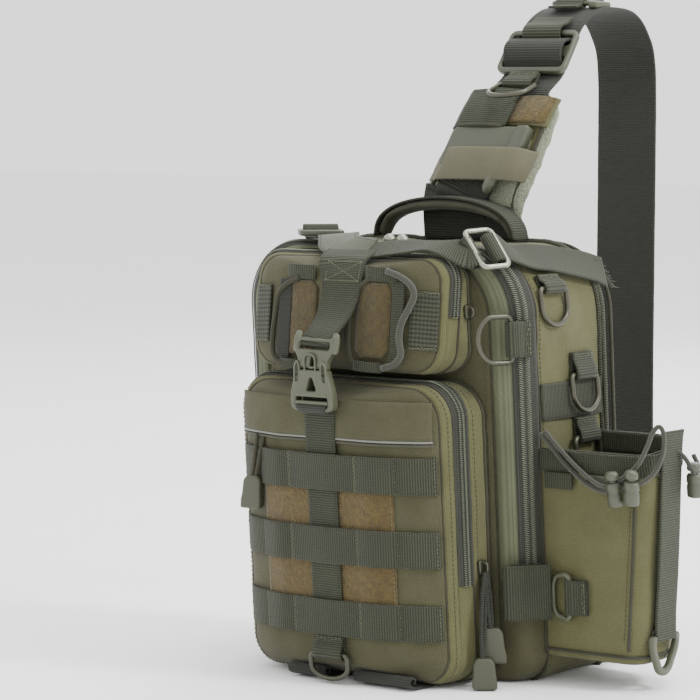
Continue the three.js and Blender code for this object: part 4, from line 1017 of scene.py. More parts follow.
# Rod straps rolled up under the pocket
for name, centre, width in (("left", -24, 32), ("right", 40, 48)):
    roll = [(-34, 1.4), (-62, 1.4), (-73, 2.0), (-78.6, 4.0), (-79.6, 7.4), (-76.6, 9.6), (-73.4, 7.6),
            (-74.6, 4.9)]
    centres = [(centre, y, z) for y, z in roll]
    tape(f"rod_strap_{name}", f"rod_strap_{name}", centres, (-1, 0, 0), width, WEB_DARK, 1.3, step=1.5)

# Top pocket: loop patches, open webbing, strips, tabs and shock cords
for side, name in ((-1, "left"), (1, "right")):
    near, far = sorted((side * 17 + 1.5, side * 44 + 1.5))
    face_patch(f"patch_top_{name}", f"patch_top_{name}", UPPER, near, far, 224, 274, LOOPS_SHADED,
               cut=5)
    low_x, high_x = sorted((side * 58, side * 78))
    z = np.linspace(230, 269, 20)
    low_edge, high_edge = (UPPER.at(0 * z + edge, z, 1.3) for edge in (low_x, high_x))
    path = (UPPER.at(0 * z + side * 68, z, 1.3) + (low_edge + high_edge) / 2) / 2
    tape(f"web_top_{name}", f"web_top_{name}", path, high_edge - low_edge, 20, WEB_NET, 1.2, smooth=False)
    for level in (231.2, 267.8):
        bar_tack(UPPER.at(low_x + 1.5, level, 2.1), UPPER.at(high_x - 1.5, level, 2.1), FRONT, 0.6)
strips = (("patch_strip_right", 46, 56, 219, 276, WEB), ("patch_strip_left", -48, -37.5, 219, 274, WEB_DARK))
for name, left, right, low, high, material in strips:
    z = np.linspace(low, high, 24)
    path = UPPER.at(0 * z + (left + right) / 2, z, 1.9)
    tape(name, "top_pocket", path, (1, 0, 0), right - left, material, 1.4, smooth=False)
tabs = (
    ("tab_right_top", (26, 280.5), (50, 279.5), 10), ("tab_right_low", (19, 218.5), (42, 217.5), 7),
    ("tab_left_top", (-41, 280), (-17, 279.5), 10), ("tab_left_low", (-44, 217.5), (-27, 217), 6.5),
)
for name, start, end, width in tabs:
    x, z = np.linspace(start[0], end[0], 14), np.linspace(start[1], end[1], 14)
    path = UPPER.at(x, z, 2.8 + 0.9 * np.sin(np.linspace(0, np.pi, 14)))
    tape(name, "top_pocket", path, (0, 0, -1), width, WEB, 1.4, smooth=False)
right_cord = [(43, 282.5, 4.5), (52, 279.5, 5), (60, 274.5, 5.6), (63.8, 267.5, 6), (61, 259, 5.6),
              (56.4, 249.5, 5), (54.4, 241, 4.6), (55.4, 233.8, 5), (56.6, 227.6, 5), (52.6, 221, 4.6),
              (43, 217.4, 4.2)]
left_cord = [(-30, 276, 3.2), (-41, 271, 3.4), (-48.6, 264, 3.4), (-51.5, 251, 3.4), (-53.2, 229, 3.4),
             (-49, 219.5, 3.4), (-40, 216.6, 3.2), (-28, 217, 2.6)]
frame_right = [(30, 277.5, 2.4), (21.5, 271, 2.6), (15.2, 258, 2.8), (14.2, 244, 2.8), (14.8, 230, 2.6),
               (18.6, 221, 2.6), (29, 216.8, 2.4)]


def on_upper(route):
    return curved([UPPER.at(float(x), float(z), lift) for x, z, lift in route])


round_piece("patch_frame_right", "cloth", "top_pocket", on_upper(frame_right), 1.5, EDGE)
# The left cord takes the dark binding colour: painted shade of the gap it lies in.
for name, route, cordage in (("right", right_cord, CORDAGE), ("left", left_cord, EDGE)):
    radius = 2.3 if name == "right" else 1.9
    round_piece(f"cord_top_{name}", "plastic", f"cord_top_{name}", on_upper(route), radius, cordage, sides=12)
knot_line = [(8.5, 258, 2), (9.5, 250, 3.4), (9, 243, 3.6), (10.5, 236, 2.6), (14, 226, 2)]
round_piece("patch_frame_cord", "cloth", "top_pocket", on_upper(knot_line), 1.2, EDGE, sides=8)

# Buckle on the centre webbing
BUCKLE_Y, BUCKLE_Z = -88.1, 188
EYE_PLACE = (0, BUCKLE_Y - 3.2, BUCKLE_Z)
RIDGE_PLACE = (0, BUCKLE_Y - 3.3, BUCKLE_Z)
RIGHT, UP = (1, 0, 0), (0, 0, 1)
socket_shape = filleted([(-16.6, 0), (16.6, 0), (17.8, 5), (17.4, 13), (14.6, 21), (13.6, 28), (-13.6, 28),
                         (-14.6, 21), (-17.4, 13), (-17.8, 5)], (4, 4, 3, 5, 6, 2, 2, 6, 5, 3))
socket_holes = [
    filleted(box(26.4, 6.6, 0, 6.4), 1.4, 4),
    filleted([(-4.2, 13.6), (4.2, 13.6), (1.0, 22.6), (-1.0, 22.6)], (1.4, 1.4, 1.0, 1.0), 5),
]
plate("buckle_socket", "buckle_socket", socket_shape, socket_holes, 7.6, (0, BUCKLE_Y, BUCKLE_Z), RIGHT, UP,
      edge=1.5)
plug_shape = filleted([(-12.6, 28.4), (12.6, 28.4), (11.6, 33), (14.4, 38.2), (17.6, 42), (18, 50), (16.4, 52.4),
                       (14.6, 52.4), (13.4, 49.5), (-13.4, 49.5), (-14.6, 52.4), (-16.4, 52.4), (-18, 50),
                       (-17.6, 42), (-14.4, 38.2), (-11.6, 33)],
                      (1, 1, 4, 4, 5, 3, 1.2, 1.2, 1.5, 1.5, 1.2, 1.2, 3, 5, 4, 4))
plug_holes = [filleted(box(25.6, 5.2, 0, 44.4), 1.6, 5), filleted(box(3.2, 7.4, 0, 33.6), 1.6, 5)]
plug_up, plug_right = as_unit((0.13, 0.12, 1)), as_unit((1, 0, -0.02))
plug_place = np.array((0.4, BUCKLE_Y, BUCKLE_Z + 28)) - plug_up * 28
plate("buckle_plug", "buckle_plug", plug_shape, plug_holes, 6.4, plug_place, plug_right, plug_up, edge=1.5)
wing = [(2.2, 0), (3.2, 1.2), (3.5, 4), (3.3, 10), (2.6, 13.2), (1.2, 14.4)]
for side, name in ((-1, "left"), (1, "right")):
    turned_piece(f"buckle_wing_{name}", "buckle_plug", wing, plug_place + plug_right * side * 15.6 + plug_up * 39.5,
                 plug_up, squash=0.75)
    window = filleted([(9.6, 19.5), (13.4, 18.5), (13.0, 30), (10.6, 34.4), (9.0, 29)], 1.8, 5) * (side, 1)
    eye = flat_at(window, EYE_PLACE, RIGHT, UP)
    round_piece(f"buckle_window_{name}", "plastic", "buckle_plug", eye, 0.9, PLASTIC, closed=True, sides=8,
                step=0.8)
    # A dark plate in each window: painted shade in the opening.
    plate(f"buckle_window_floor_{name}", "buckle_plug", window, [], 1.0, RIDGE_PLACE, RIGHT, UP, EDGE, edge=0.2)
rim_line = filleted([(-7, 11.4), (7, 11.4), (4.4, 24), (4.6, 38.5), (-4.6, 38.5), (-4.4, 24)], (3, 3, 5, 4, 4, 5),
                    7)
round_piece("buckle_tongue_ridge", "plastic", "buckle_plug", flat_at(rim_line, RIDGE_PLACE, RIGHT, UP), 0.75,
            PLASTIC, closed=True, sides=8, step=0.8)
# The webbing's turn through the socket takes the dark webbing: painted shade in the buckle's slot.
fold = [(0, -84.6, 186.2), (0, -86.6, 190.4), (0, -91.2, 191.8), (0, -92.4, 190), (0, -90, 187.4),
        (0, -87.4, 187.2)]
tape("webbing_through_socket", "centre_webbing", fold, (1, 0, 0), 24.4, WEB_DARK, 1.5, step=0.8)
for level in (189.2, 193.6, 198.8):
    bar = [(-13.5, BUCKLE_Y - 2.6, level), (13.5, BUCKLE_Y - 2.6, level)]
    round_piece(f"socket_bar_{int(level)}", "plastic", "buckle_socket", bar, 1.5, PLASTIC)


# Straps over the top pocket
def over_top(right, back, up):
    """A place counted from the top of the body's front edge."""
    return (right, BODY_FRONT + back, BODY_TOP + up)


stem = [(3, -82.4, 230.6), (3.2, -86, 232), (3.6, -86.6, 235.4), (4.8, -82.2, 240.6), (5.4, -72, 249.5),
        (6, -64.4, 260), (6, -60.6, 270), (5.6, -58, 280), (4, -53, 288.8), (3, -41, 294.8)]
stem_widths = (24, 24.2, 24.4, 24.8, 27.4, 30.5, 32.5, 35.5, 40.5, 42)
tape("y_strap_stem", "y_strap_stem", stem, (1, 0, 0), stem_widths, WEB, 1.7, step=1.6, seams=1.6, columns=16)
box_stitch((6.5, -58.3, 281.2), (14, 0, 0), (0, 2.6, 6.4), as_unit((0, -0.95, 0.35)), "tight")
bar_tack((-8, -63.4, 263.5), (20, -63.4, 263.5), as_unit((0, -0.8, 0.5)), 0.8)
left_front = [over_top(14, -22.5, -5), over_top(-6, -22.5, -4.4), over_top(-23, -19.4, -2.6),
              over_top(-38, -2, 4.2), over_top(-58, 22, 6)]
left_rear = [over_top(20, -9, 5.2), over_top(4, -5, 6), over_top(-8, 2, 7), over_top(-18, 18, 8.4),
             over_top(-36, 42, 6.4)]
strip("y_strap_left", left_front, left_rear, WEB_FLAT_LIT, step=2, columns=14, seams=1.8)
lock_place = np.array(over_top(-56, 24, 7.4))
lock_along, lock_side = as_unit((-0.68, 0.73, 0)), as_unit((-0.73, -0.68, 0))
plate("top_ladder_lock", "y_strap_left", filleted(box(31, 25), 3),
      [filleted(box(25.5, 5, 0, 6), 1), filleted(box(25.5, 5, 0, -5), 1)], 4, lock_place, lock_side, lock_along,
      PLASTIC_DARK, edge=1)
roll = [(-16, -3), (-8, -2), (-5, 1), (-2, 4.6), (2, 4.9), (5, 2), (7, -1.6), (12, -2.4)]
roll = flat_at(roll, lock_place, lock_along, UP)
tape("ladder_lock_webbing", "y_strap_left", roll, lock_side, 24.5, WEB, 1.6, step=1)

BAR_HALF = 12.3
RECT_PLACE = np.array((87, -20, 294.5))
RECT_BAR = as_unit((0.66, -0.3, -0.69))
RECT_ALONG = as_unit((-0.4708, -0.8796, -0.0678))
RECT_OUT = np.cross(RECT_ALONG, RECT_BAR)


def beside_bar(side, flat):
    """The folds of an edge of webbing at one end of the ring's bar."""
    return list(flat_at(flat, RECT_PLACE + RECT_BAR * side * BAR_HALF, RECT_ALONG, RECT_OUT))


rect_flat = filleted([(-16.5, 0), (16.5, 0), (16.5, -19.6), (-16.5, -19.6)], 3.4, 6)
wire_ring("rect_ring", rect_flat, RECT_PLACE + RECT_OUT * 2.6, RECT_BAR, RECT_ALONG, 1.9, BRIGHT)
bar_front = ((4.2, 0.6), (1.2, 3.1), (-2.2, 2.6), (-3.2, -0.6), (-0.6, -3.0), (3.2, -3.0))
branch_front = [over_top(6, -24.4, -6.9), over_top(20.5, -24.8, -6), over_top(45.5, -20.6, -2.4),
                over_top(64, -15, -0.6)]
branch_rear = [over_top(6, -10, 3.6), over_top(20.5, -9, 4), over_top(45.5, -2, 5.6), over_top(63, 1.5, 5)]
branch_front += beside_bar(1, bar_front)
branch_rear += beside_bar(-1, bar_front)
strip("y_strap_right", branch_front, branch_rear, WEB, step=1.5, columns=14, seams=1.6)
bar_tack((17.5, -47.5, 292.2), (14.5, -34.5, 301.2), as_unit((0.1, -0.6, 0.75)), 1.1)


def on_corner(angle, y):
    """A place on the body's rounded right shoulder."""
    turn, radius = math.radians(angle), BODY_CORNER + 6
    return (CORNER_X + radius * math.cos(turn), y, CORNER_Z + radius * math.sin(turn))


bar_back = ((-16.4, -3.0), (-13.6, -3.4), (-11.6, 0.2), (-13.6, 3.4), (-17.2, 3.7), (-21.5, 2.4))
tail_front = beside_bar(1, bar_back)
tail_front += [on_corner(*place) for place in ((39, 16), (35, 38), (29, 62), (23, 86), (17, 99))]
tail_rear = beside_bar(-1, bar_back)
tail_rear += [on_corner(*place) for place in ((69, 16), (66, 38), (60, 62), (52, 84), (45, 97))]
strip("y_strap_tail", tail_front, tail_rear, WEB, step=1.6, columns=14, seams=1.6)
frayed = []
for share in np.linspace(0.03, 0.97, 16):
    root = np.array(tail_front[-1]) * (1 - share) + np.array(tail_rear[-1]) * share
    sway = 1.6 * math.sin(share * 37)
    line = curved([root - (0, 3, 0), root + (sway * 0.3, 1.5, 0), root + (sway, 4.6, -1.2 + sway * 0.4)])
    frayed.append(tube("fray", line, 0.42, WEB, sides=5))
settle(joined("y_strap_frayed_end", frayed), "y_strap_tail")

# Grab handle: padding wrapped in cloth, with webbing sewn along its top
angles = np.linspace(0, np.pi, 40)
arch_path = np.stack([5 + 55 * np.cos(angles), 69 + 0 * angles, 299.6 + 23.4 * np.sin(angles)**0.85], 1)
arch_path = np.vstack([[(61.5, 69, 296.8)], arch_path, [(-51.5, 69, 296.8)]])
arch_path = spaced(arch_path, 2.5)
section = soft_section(12.2, 4.2, 0.8, 0.9, 20)
swell = 0.72 + 0.28 * np.sin(np.linspace(0, np.pi, len(arch_path)))**0.5
grid = sweep(arch_path, section, (0, 1, 0), widths=swell)
handle = grid_piece("handle", grid, LINING, wrap=True, caps=True)
settle(puffed(handle), "handle")
top_line = arch_path + np.array([0, 0.6, 0])
rise = np.cross(np.broadcast_to((0.0, 1.0, 0.0), arch_path.shape), tangents(arch_path))
sign = np.sign(np.sum(rise[:, 2]))
top_line = top_line + rise * sign * 4.3
across = np.array([0.0, 1.0, 0.0]) * sign
tape("handle_webbing", "handle", top_line, across, 19, WEB, 1.5, step=2, smooth=False, seams=2.4, columns=12)

# Body's right side: band, rings, and the ring across the zip
y = np.linspace(8.5, 82, 30)
band = np.stack([0 * y + 118.5, y, 0 * y + 192.5], 1)
tape("side_webbing_right", "side_webbing_right", band, (0, 0, -1), 25, WEB, 1.6, smooth=False, seams=2)
for y, z, tail, name in ((28, 268, 10, "top"), (57, 209, 15, "mid"), (59, 165.5, 14, "low")):
    angle = math.asin(max(0, z - CORNER_Z) / BODY_CORNER)
    seat_x = BODY_HALF - BODY_CORNER * (1 - math.cos(angle)) + 0.6
    ring_in_loop(f"side_ring_{name}", f"side_loop_{name}", (seat_x, y, z), (-math.sin(angle), 0, math.cos(angle)),
                 (math.cos(angle), 0, math.sin(angle)), tail, math.radians(5) - angle)
zip_tab_along = as_unit((0.525, 0.851, 0))
ring_in_loop("zip_ring", "zip_ring_tab", (109.9, -15, 237), zip_tab_along, (zip_tab_along[1], -zip_tab_along[0], 0),
             15, math.radians(4))

# Wide folded tab at the foot of the zip, and the angular ring beside it
wrap = [(117.7, 2.6), (116.1, -6), (108.8, -14.7), (106.4, -18.4), (104.6, -22.2), (107, -26.2), (112.5, -23),
        (118, -14.5), (124.6, -5), (127.1, -1.4)]
wrap_line = curved([(x, y, 65) for x, y in wrap])
tape("wrap_tab", "wrap_tab", wrap_line, (0, 0, -1), 38, WEB, 1.7, step=1.4, smooth=False, seams=2.2, columns=18)
inner = spaced(wrap_line[40:], 2.0)
inner = inner + np.cross(tangents(inner), (0, 0, -1.0)) * np.array([1, 1, 0]) * 1.5
tape("wrap_tab_lining", "wrap_tab", inner, (0, 0, -1), 37.4, LOOPS, 0.9, step=2, smooth=False, slot="loop_cloth")
angular = filleted([(-15.5, -2.5), (-12, 0), (12, 0), (15.5, -2.5), (13.5, -12), (8, -14.5), (-8, -14.5),
                    (-13.5, -12)], 2.4, 5)
ring_in_loop("wrap_ring", "wrap_ring_tab", (140.5, 6, 62), (1, 0, 0), (0, -1, 0), 12, math.radians(-5), angular,
             2.0, PLASTIC)

# Bottle pocket
BOTTLE_FOOT, BOTTLE_RIM = 19, 161
BOTTLE_FRONT, BOTTLE_BACK = 6, 78
BOTTLE_FRONT_TURN, BOTTLE_BACK_TURN = 14, 45
BOTTLE_WIDE, RIM_RISE, TUNNEL_DROP = 86, 7, 16
WALL_X = BODY_HALF + GAP


def bottle_right(z):
    return WALL_X + BOTTLE_WIDE * (0.86 + 0.14 * (z - BOTTLE_FOOT) / (BOTTLE_RIM - BOTTLE_FOOT))


def rim(y):
    return BOTTLE_RIM + RIM_RISE * (y - BOTTLE_FRONT) / (BOTTLE_BACK - BOTTLE_FRONT)


def bottle_loop(height, grow=0.0):
    """The three walls seen from above, from the body's front side round to its back side."""
    reach = bottle_right(height(BOTTLE_FRONT)) - BOTTLE_FRONT_TURN - WALL_X
    loop = [(WALL_X + share * reach, BOTTLE_FRONT - grow) for share in np.linspace(0, 0.96, 26)]
    turns = ((BOTTLE_FRONT + BOTTLE_FRONT_TURN, BOTTLE_FRONT_TURN, -90),
             (BOTTLE_BACK - BOTTLE_BACK_TURN, BOTTLE_BACK_TURN, 0))
    for centre_y, turn, start in turns:
        for a in np.radians(np.linspace(start, start + 90, 20)):
            y = centre_y + (turn + grow) * math.sin(a)
            loop.append((bottle_right(height(y)) - turn + (turn + grow) * math.cos(a), y))
    end_x = loop[-1][0]
    loop += [(end_x + (WALL_X - end_x) * share, BOTTLE_BACK + grow) for share in np.linspace(0.1, 1, 14)]
    return np.array([(x, y, height(y)) for x, y in loop])


def between(share):
    return lambda y: BOTTLE_FOOT + 4 + (rim(y) - BOTTLE_FOOT - 4) * share


BOTTLE_INSIDE = (155, 40, 90)
walls = [bottle_loop(lambda y: BOTTLE_FOOT + up, grow) for up, grow in ((0, -3), (0.8, -1), (3, -0.1))]
walls += [bottle_loop(between(share), 0.1) for share in np.linspace(0.01, 1, 34)]
grid = np.array(walls)
out = outward(grid, BOTTLE_INSIDE, wrap=False)
fade = np.clip((grid[..., 2] - 30) / 30, 0, 1) * np.clip((grid[..., 0] - 120) / 20, 0, 1)
slack = 1.3 * waves(grid * np.array([1, 1, 0.55]), 34, 31, 3) * fade
below_rim = np.abs(rim(grid[..., 1]) - TUNNEL_DROP - grid[..., 2])
gather = 0.9 * waves(grid * np.array([1, 1, 0.2]), 9, 32, 1) * np.exp(-below_rim / 12)
grid = grid + out * (slack + gather)[..., None]
settle(grid_piece("bottle_pocket_wall", grid, CLOTH_LIT, inside=BOTTLE_INSIDE), "bottle_pocket",
       thick=1.0)
lining = np.array([bottle_loop(between(share), -2.4) for share in np.linspace(0.02, 0.985, 16)])
settle(grid_piece("bottle_pocket_lining", lining, LINING, inside=BOTTLE_INSIDE), "bottle_pocket",
       thick=0.6)
base = bottle_loop(lambda y: BOTTLE_FOOT, -2.9)
centre = base.mean(0)
floor_rings = np.array([centre + (base - centre) * share for share in (0.02, 0.35, 0.7, 1)])
settle(grid_piece("bottle_pocket_base", floor_rings, CLOTH, wrap=True, inside=(155, 40, 60), pole=True),
       "bottle_pocket", thick=1.2)
back_z, back_y = np.meshgrid(np.linspace(20, 131, 12), np.linspace(BOTTLE_FRONT, BOTTLE_BACK, 10), indexing="ij")
against = np.stack([0 * back_z + 118.6, back_y, back_z], -1)
settle(grid_piece("bottle_pocket_inner", against, LINING, inside=(110, 40, 90)), "bottle_pocket",
       thick=1.0)
corner_line = [grid[row, 30] + out[row, 30] * 0.4 for row in range(4, len(grid) - 6)]
round_piece("bottle_corner_piping", "cloth", "bottle_pocket", corner_line, 1.15, EDGE, sides=8)
foot_line = grid[3] + out[3] * 0.5
round_piece("bottle_foot_piping", "cloth", "bottle_pocket", foot_line, 1.2, EDGE, sides=8)
front_line = [grid[row, 0] + np.array([0.4, -0.6, 0]) for row in range(2, len(grid))]
round_piece("bottle_front_piping", "cloth", "bottle_pocket", front_line, 1.1, EDGE, sides=8)
stitch(grid[6:-6, 27] + out[6:-6, 27] * 0.3, out[6:-6, 27], "olive")
rim_loop = bottle_loop(lambda y: rim(y) - 6.6, 1.0)
rim_sag = 0.6 * waves(rim_loop * np.array([1, 1, 0.3]), 12, 41, 2)
rim_loop[:, 2] += rim_sag
tape("pocket_binding", "pocket_binding", rim_loop, (0, 0, -1), 14.5, WEB, 2.0, step=2, smooth=False, seams=1.8,
     wobble=0.5, columns=10)
inner_rim = bottle_loop(lambda y: rim(y) - 6.2, -3.1)
tape("pocket_binding_inside", "pocket_binding", inner_rim, (0, 0, -1), 14, BINDING, 1.4, step=2.5, smooth=False)
tunnel = bottle_loop(lambda y: rim(y) - 17.6, 1.0)[14:30]
tape("cord_tunnel", "pocket_binding", tunnel, (0, 0, -1), 7.5, WEB, 1.8, step=1.6, smooth=False)
for start, end, level, high, name in ((2, 11, 19.5, 11, "mouth_tab_left"), (15, 24, 17.2, 6.5, "mouth_tab_right")):
    line = bottle_loop(lambda y: rim(y) - level, 2.6)[start:end]
    line[:, 1] -= 0.8 * np.sin(np.linspace(0, np.pi, len(line)))
    tape(name, "pocket_binding", line, (0, 0, -1), high, WEB_FLAT_LIT if high < 8 else WEB, 1.5, step=1.2, smooth=False)

# Shock cord and its locks
mouth = [(120, 3.4, 172), (128, 1.8, 166), (140, 0.8, 154), (157, -0.6, 142), (171, -3.4, 137.5),
         (183, -5.0, 138.4)]
second = [(124, 3.4, 174), (133, 1.6, 166.5), (147, 0.4, 154.5), (162, -1.8, 145), (176, -4.4, 140.6),
          (195, -4.6, 141)]
loop_up = [(184, -5.2, 145), (191, -4, 149), (199, -0.5, 157), (203.4, 4, 168), (206, 8, 178), (209.4, 11, 182),
           (212, 12, 176), (211, 11, 163), (207, 6, 151), (200, -2, 144), (196, -4.8, 146)]
for name, route in (("mouth_cord", mouth), ("mouth_cord_second", second), ("mouth_cord_loop", loop_up)):
    round_piece(name, "plastic", "mouth_cord", curved(route), 1.6, CORDAGE, sides=10, step=1.4)
barrel = [(3.6, 0), (5.2, 0.6), (5.7, 2), (5.7, 8), (5.3, 9), (5.3, 10.2), (5.7, 11), (5.5, 15), (4.4, 16.4),
          (3.6, 16.6)]
button = [(2.6, 15.5), (2.6, 18), (4.6, 18.6), (5.0, 20), (4.8, 22.6), (3.4, 23.8)]
locks = (
    ("cord_lock_1", "cord_lock_1", (184, -5.2, 128), (-0.06, -0.1, 1)),
    ("cord_lock_2", "cord_lock_2", (196, -5.2, 130), (0.1, -0.1, 1)),
    ("cord_lock_rear", None, (212, 49, 131), (0.02, -0.06, 1)),
)
for name, node, place, axis in locks:
    turned_piece(name, node, barrel, place, axis, PLASTIC_DARK, squash=0.86)
    turned_piece(name + "_button", node, button, place, axis, PLASTIC_DARK, squash=0.9)
rear_cord = [(204, 62, 158), (210, 58, 150), (212, 49.5, 142), (214, 46, 146), (211, 40, 158), (206, 36, 164)]
round_piece("mouth_cord_rear", "plastic", "mouth_cord", curved(rear_cord), 1.6, CORDAGE, step=1.4)

# Loose strap on the pocket's right face
def strap_side_x(z):
    """The outer face of the bottle pocket."""
    return 206.4 - (BOTTLE_RIM - z) * 0.08 + 0.5


heights = np.array([180, 172, 160, 141, 110, 80, 55, 41, 36, 35.2, 37.5, 43])
bulge = np.array([0.8, 0.2, 0, 0, 0.5, 0.6, 0.2, 0.6, 1.4, 0.0, -1.6, -1.9])
near = [(strap_side_x(z) + b, 17.2, min(z, 173)) for z, b in zip(heights, bulge)]
far = [(strap_side_x(z) + b, 41.8, z + (1 if i == 0 else 0)) for i, (z, b) in enumerate(zip(heights, bulge))]
near[0] = (strap_side_x(174), 17.2, 174.4)
strip("pocket_strap", near, far, WEB, step=2, columns=12, seams=1.8)
out = as_unit((1, 0, -0.08))
bar_tack((197.6, 19, 48), (197.6, 40, 48), out, 0.9)
bar_tack((197.4, 19, 44.5), (197.4, 40, 44.5), out, 0.6)
triangle = filleted([(-17, 3), (17, 3), (17, -7), (6.5, -26), (-6.5, -26), (-17, -7)], (2.5, 2.5, 5, 6, 6, 5), 6)
triangle_hole = filleted([(-12.6, -1.4), (12.6, -1.4), (11.2, -7.5), (3.4, -20.5), (-3.4, -20.5), (-11.2, -7.5)],
                         (1.5, 1.5, 3, 3, 3, 3), 5)
plate("pocket_strap_ring", "pocket_strap_ring", triangle, [triangle_hole], 4.4, (196.6, 29.5, 36.2), (0, 1, 0),
      (0.08, 0, 1), edge=1.3)

# Padded back
PANEL_REAR, TALL_PADS, FOOT_PAD = 97.2, 5.2, 4.6
panel_rows = [(84.2, -1.5), (84.6, 0.6), (87.5, 3), (94, 3), (97, 0.5)]
loops = []
for y, grow in panel_rows:
    x, z = rounded(BODY_HALF + grow, 0, BODY_TOP - 3 + grow, BODY_CORNER, BODY_FOOT)
    loops.append(np.stack([x, 0 * x + y, z], 1))
middle = loops[-1].mean(0)
centre = loops[0].mean(0)
front_rings = [centre + (loops[0] - centre) * share for share in (0.05, 0.5)]


def pillow(loop):
    """The pads of the back: two tall ones beside a hollow spine, and one across the foot."""
    x, z = loop[:, 0], loop[:, 2]
    lobes = np.sin(np.pi * np.clip((np.abs(x) - 8) / 92, 0, 1)) * np.sin(np.pi * np.clip((z - 92) / 186, 0, 1))
    foot = np.cos(np.pi * np.clip(x / 200, -0.5, 0.5)) * np.sin(np.pi * np.clip((z - 14) / 66, 0, 1))
    out = loop.copy()
    out[:, 1] = PANEL_REAR + TALL_PADS * np.maximum(0, lobes)**0.6 + FOOT_PAD * np.maximum(0, foot)**0.6
    return out


back_rings = [pillow(middle + (loops[-1] - middle) * share) for share in np.linspace(0.985, 0.03, 26)]
grid = np.array(front_rings + loops + back_rings)
panel = grid_piece("back_panel", grid, PADDING, wrap=True, caps=True)
settle(puffed(panel), "back_panel")
round_piece("back_panel_piping", "cloth", "back_panel", loops[2] + np.array([0, -2.2, 0]), 1.9, BINDING,
            closed=True, sides=10)
round_piece("back_panel_piping_rear", "cloth", "back_panel", loops[3] + np.array([0, 1.4, 0]), 1.4, EDGE,
            closed=True, sides=8)

# Shoulder pad
PAD_FACE = 5.3
PAD_INSIDE = (30, 140, 350)
PAD = np.array([
    (14.06, 87.5, 296.6, 92), (15.2, 87.5, 325, 92), (26.98, 91.985, 349.02, 88.96),
    (35.99, 104.99, 378.02, 84), (38, 116, 391, 73.97), (38, 122, 398, 49.96)])
pad_dense = curved(PAD, parts=16)
pad_rows = np.linspace(0, 5, len(pad_dense))


def pad_frame(t):
    """The pad's middle, its width, its direction and the way off its face, counted in rows."""
    *place, wide = (np.interp(t, pad_rows, pad_dense[:, k]) for k in range(4))
    ahead, behind = (np.array([np.interp(np.clip(t + step, 0, 5), pad_rows, pad_dense[:, k]) for k in range(3)])
                     for step in (0.1, -0.1))
    along = unit((ahead - behind) * (0, 1, 1))
    return np.array(place), wide, along, np.array([0, -along[2], along[1]])


def on_pad(t, shift, lift):
    place, out = pad_frame(t)[0], pad_frame(t)[3]
    return place + np.array([shift, 0, 0]) + out * (lift + PAD_FACE)


pad_path = [pad_frame(t)[0] for t in np.linspace(0, 5, 46)]
pad_wide = np.array([pad_frame(t)[1] for t in np.linspace(0, 5, 46)])
pad_wide[-6:] *= np.array([1, 0.99, 0.97, 0.93, 0.85, 0.7])
pad_section = soft_section(0.5, 5.0, 0.35, 0.7, 44)
grid = sweep(np.array(pad_path), pad_section, (1, 0, 0), widths=pad_wide)
pad = grid_piece("strap_pad", grid, PADDING, wrap=True, caps=True)
settle(puffed(pad), "strap_pad")


def pad_layer(name, node, t0, t1, columns, material, thick=1.2, step=0.06):
    """A layer on the pad: columns are (shift, lift) from its left edge to its right."""
    columns = spaced(np.array([(a, b, 0) for a, b in columns], float), 3.0)
    rows = np.arange(t0, t1 + 0.001, step)
    grid = np.array([[on_pad(t, shift, lift + thick) for shift, lift, _ in columns] for t in rows])
    grid = grid + 0.25 * waves(grid, 15, len(name))[..., None] * pad_frame((t0 + t1) / 2)[3]
    settle(grid_piece(name, grid, material, inside=PAD_INSIDE), node, thick=thick)


facing = []
for t in np.linspace(0.02, 4.86, 44):
    half = pad_frame(t)[1] / 2 - 9
    if t > 4.2:
        half *= 1 - 0.35 * ((t - 4.2) / 0.66)**2
    facing.append([on_pad(t, shift, 0.9) for shift in np.linspace(-half, half, 16)])
facing = np.array(facing)
settle(grid_piece("strap_pad_front", facing, CLOTH_LIT, inside=PAD_INSIDE), "strap_pad", thick=1.3)
for column, name in ((0, "left"), (-1, "right")):
    round_piece(f"pad_edge_{name}", "cloth", "strap_pad", facing[:, column] + np.array([0, 0.2, 0]), 1.5, EDGE,
                sides=8)
foot_web = [on_pad(t, 0, 2.8) for t in (0.05, 0.4, 0.8, 1.1)]
tape("pad_foot_webbing", "strap_pad", foot_web, (1, 0, 0), 76, WEB_DARK, 2.0, seams=3, columns=24)
under = [on_pad(t, -6, 3.8) for t in (0.6, 1.0, 1.35, 1.75, 2.1)]
tape("strap_under_band", "strap_band", np.array(under), (1, 0, 0), 44, WEB_DARK, 1.8, columns=16)

# Moulded clasp, elastic over it, patch and flap
clasp_mid, clasp_up = on_pad(2.3, -6, 5.4), on_pad(2.75, -6, 5.4) - on_pad(1.85, -6, 5.4)
clasp_shape = filleted([(-29, -16), (22, -16), (22, -10), (29, -10), (29, 16), (-29, 16)], (5, 2, 1, 3, 4, 5), 6)
plate("strap_buckle", "strap_buckle", clasp_shape, [], 8.6, clasp_mid, (1, 0, 0), clasp_up, PLASTIC_DARK, edge=2.4)
plate("strap_buckle_end", "strap_buckle", filleted(box(11, 27, 29.5, 3), 2.6, 6), [], 10.6, clasp_mid, (1, 0, 0),
      clasp_up, PLASTIC_DARK, edge=2.0)
prong_axis = -unit(np.array(clasp_up))
turned_piece("strap_buckle_prong", "strap_buckle", [(4.6, 0), (5.4, 4), (5.6, 14), (4.6, 20), (2.0, 23.4)],
             clasp_mid + prong_axis * 12 + np.array([20, 0, 0]), prong_axis, squash=0.8)
band_columns = [(-41, 0.2), (-36, 2), (-31, 8.6), (-22, 10.2), (0, 10.6), (22, 10.2), (31, 8.6), (37, 2), (41, 0.2)]
pad_layer("strap_band", "strap_band", 1.5, 2.28, band_columns, CLOTH_SMOOTH, thick=1.5, step=0.04)
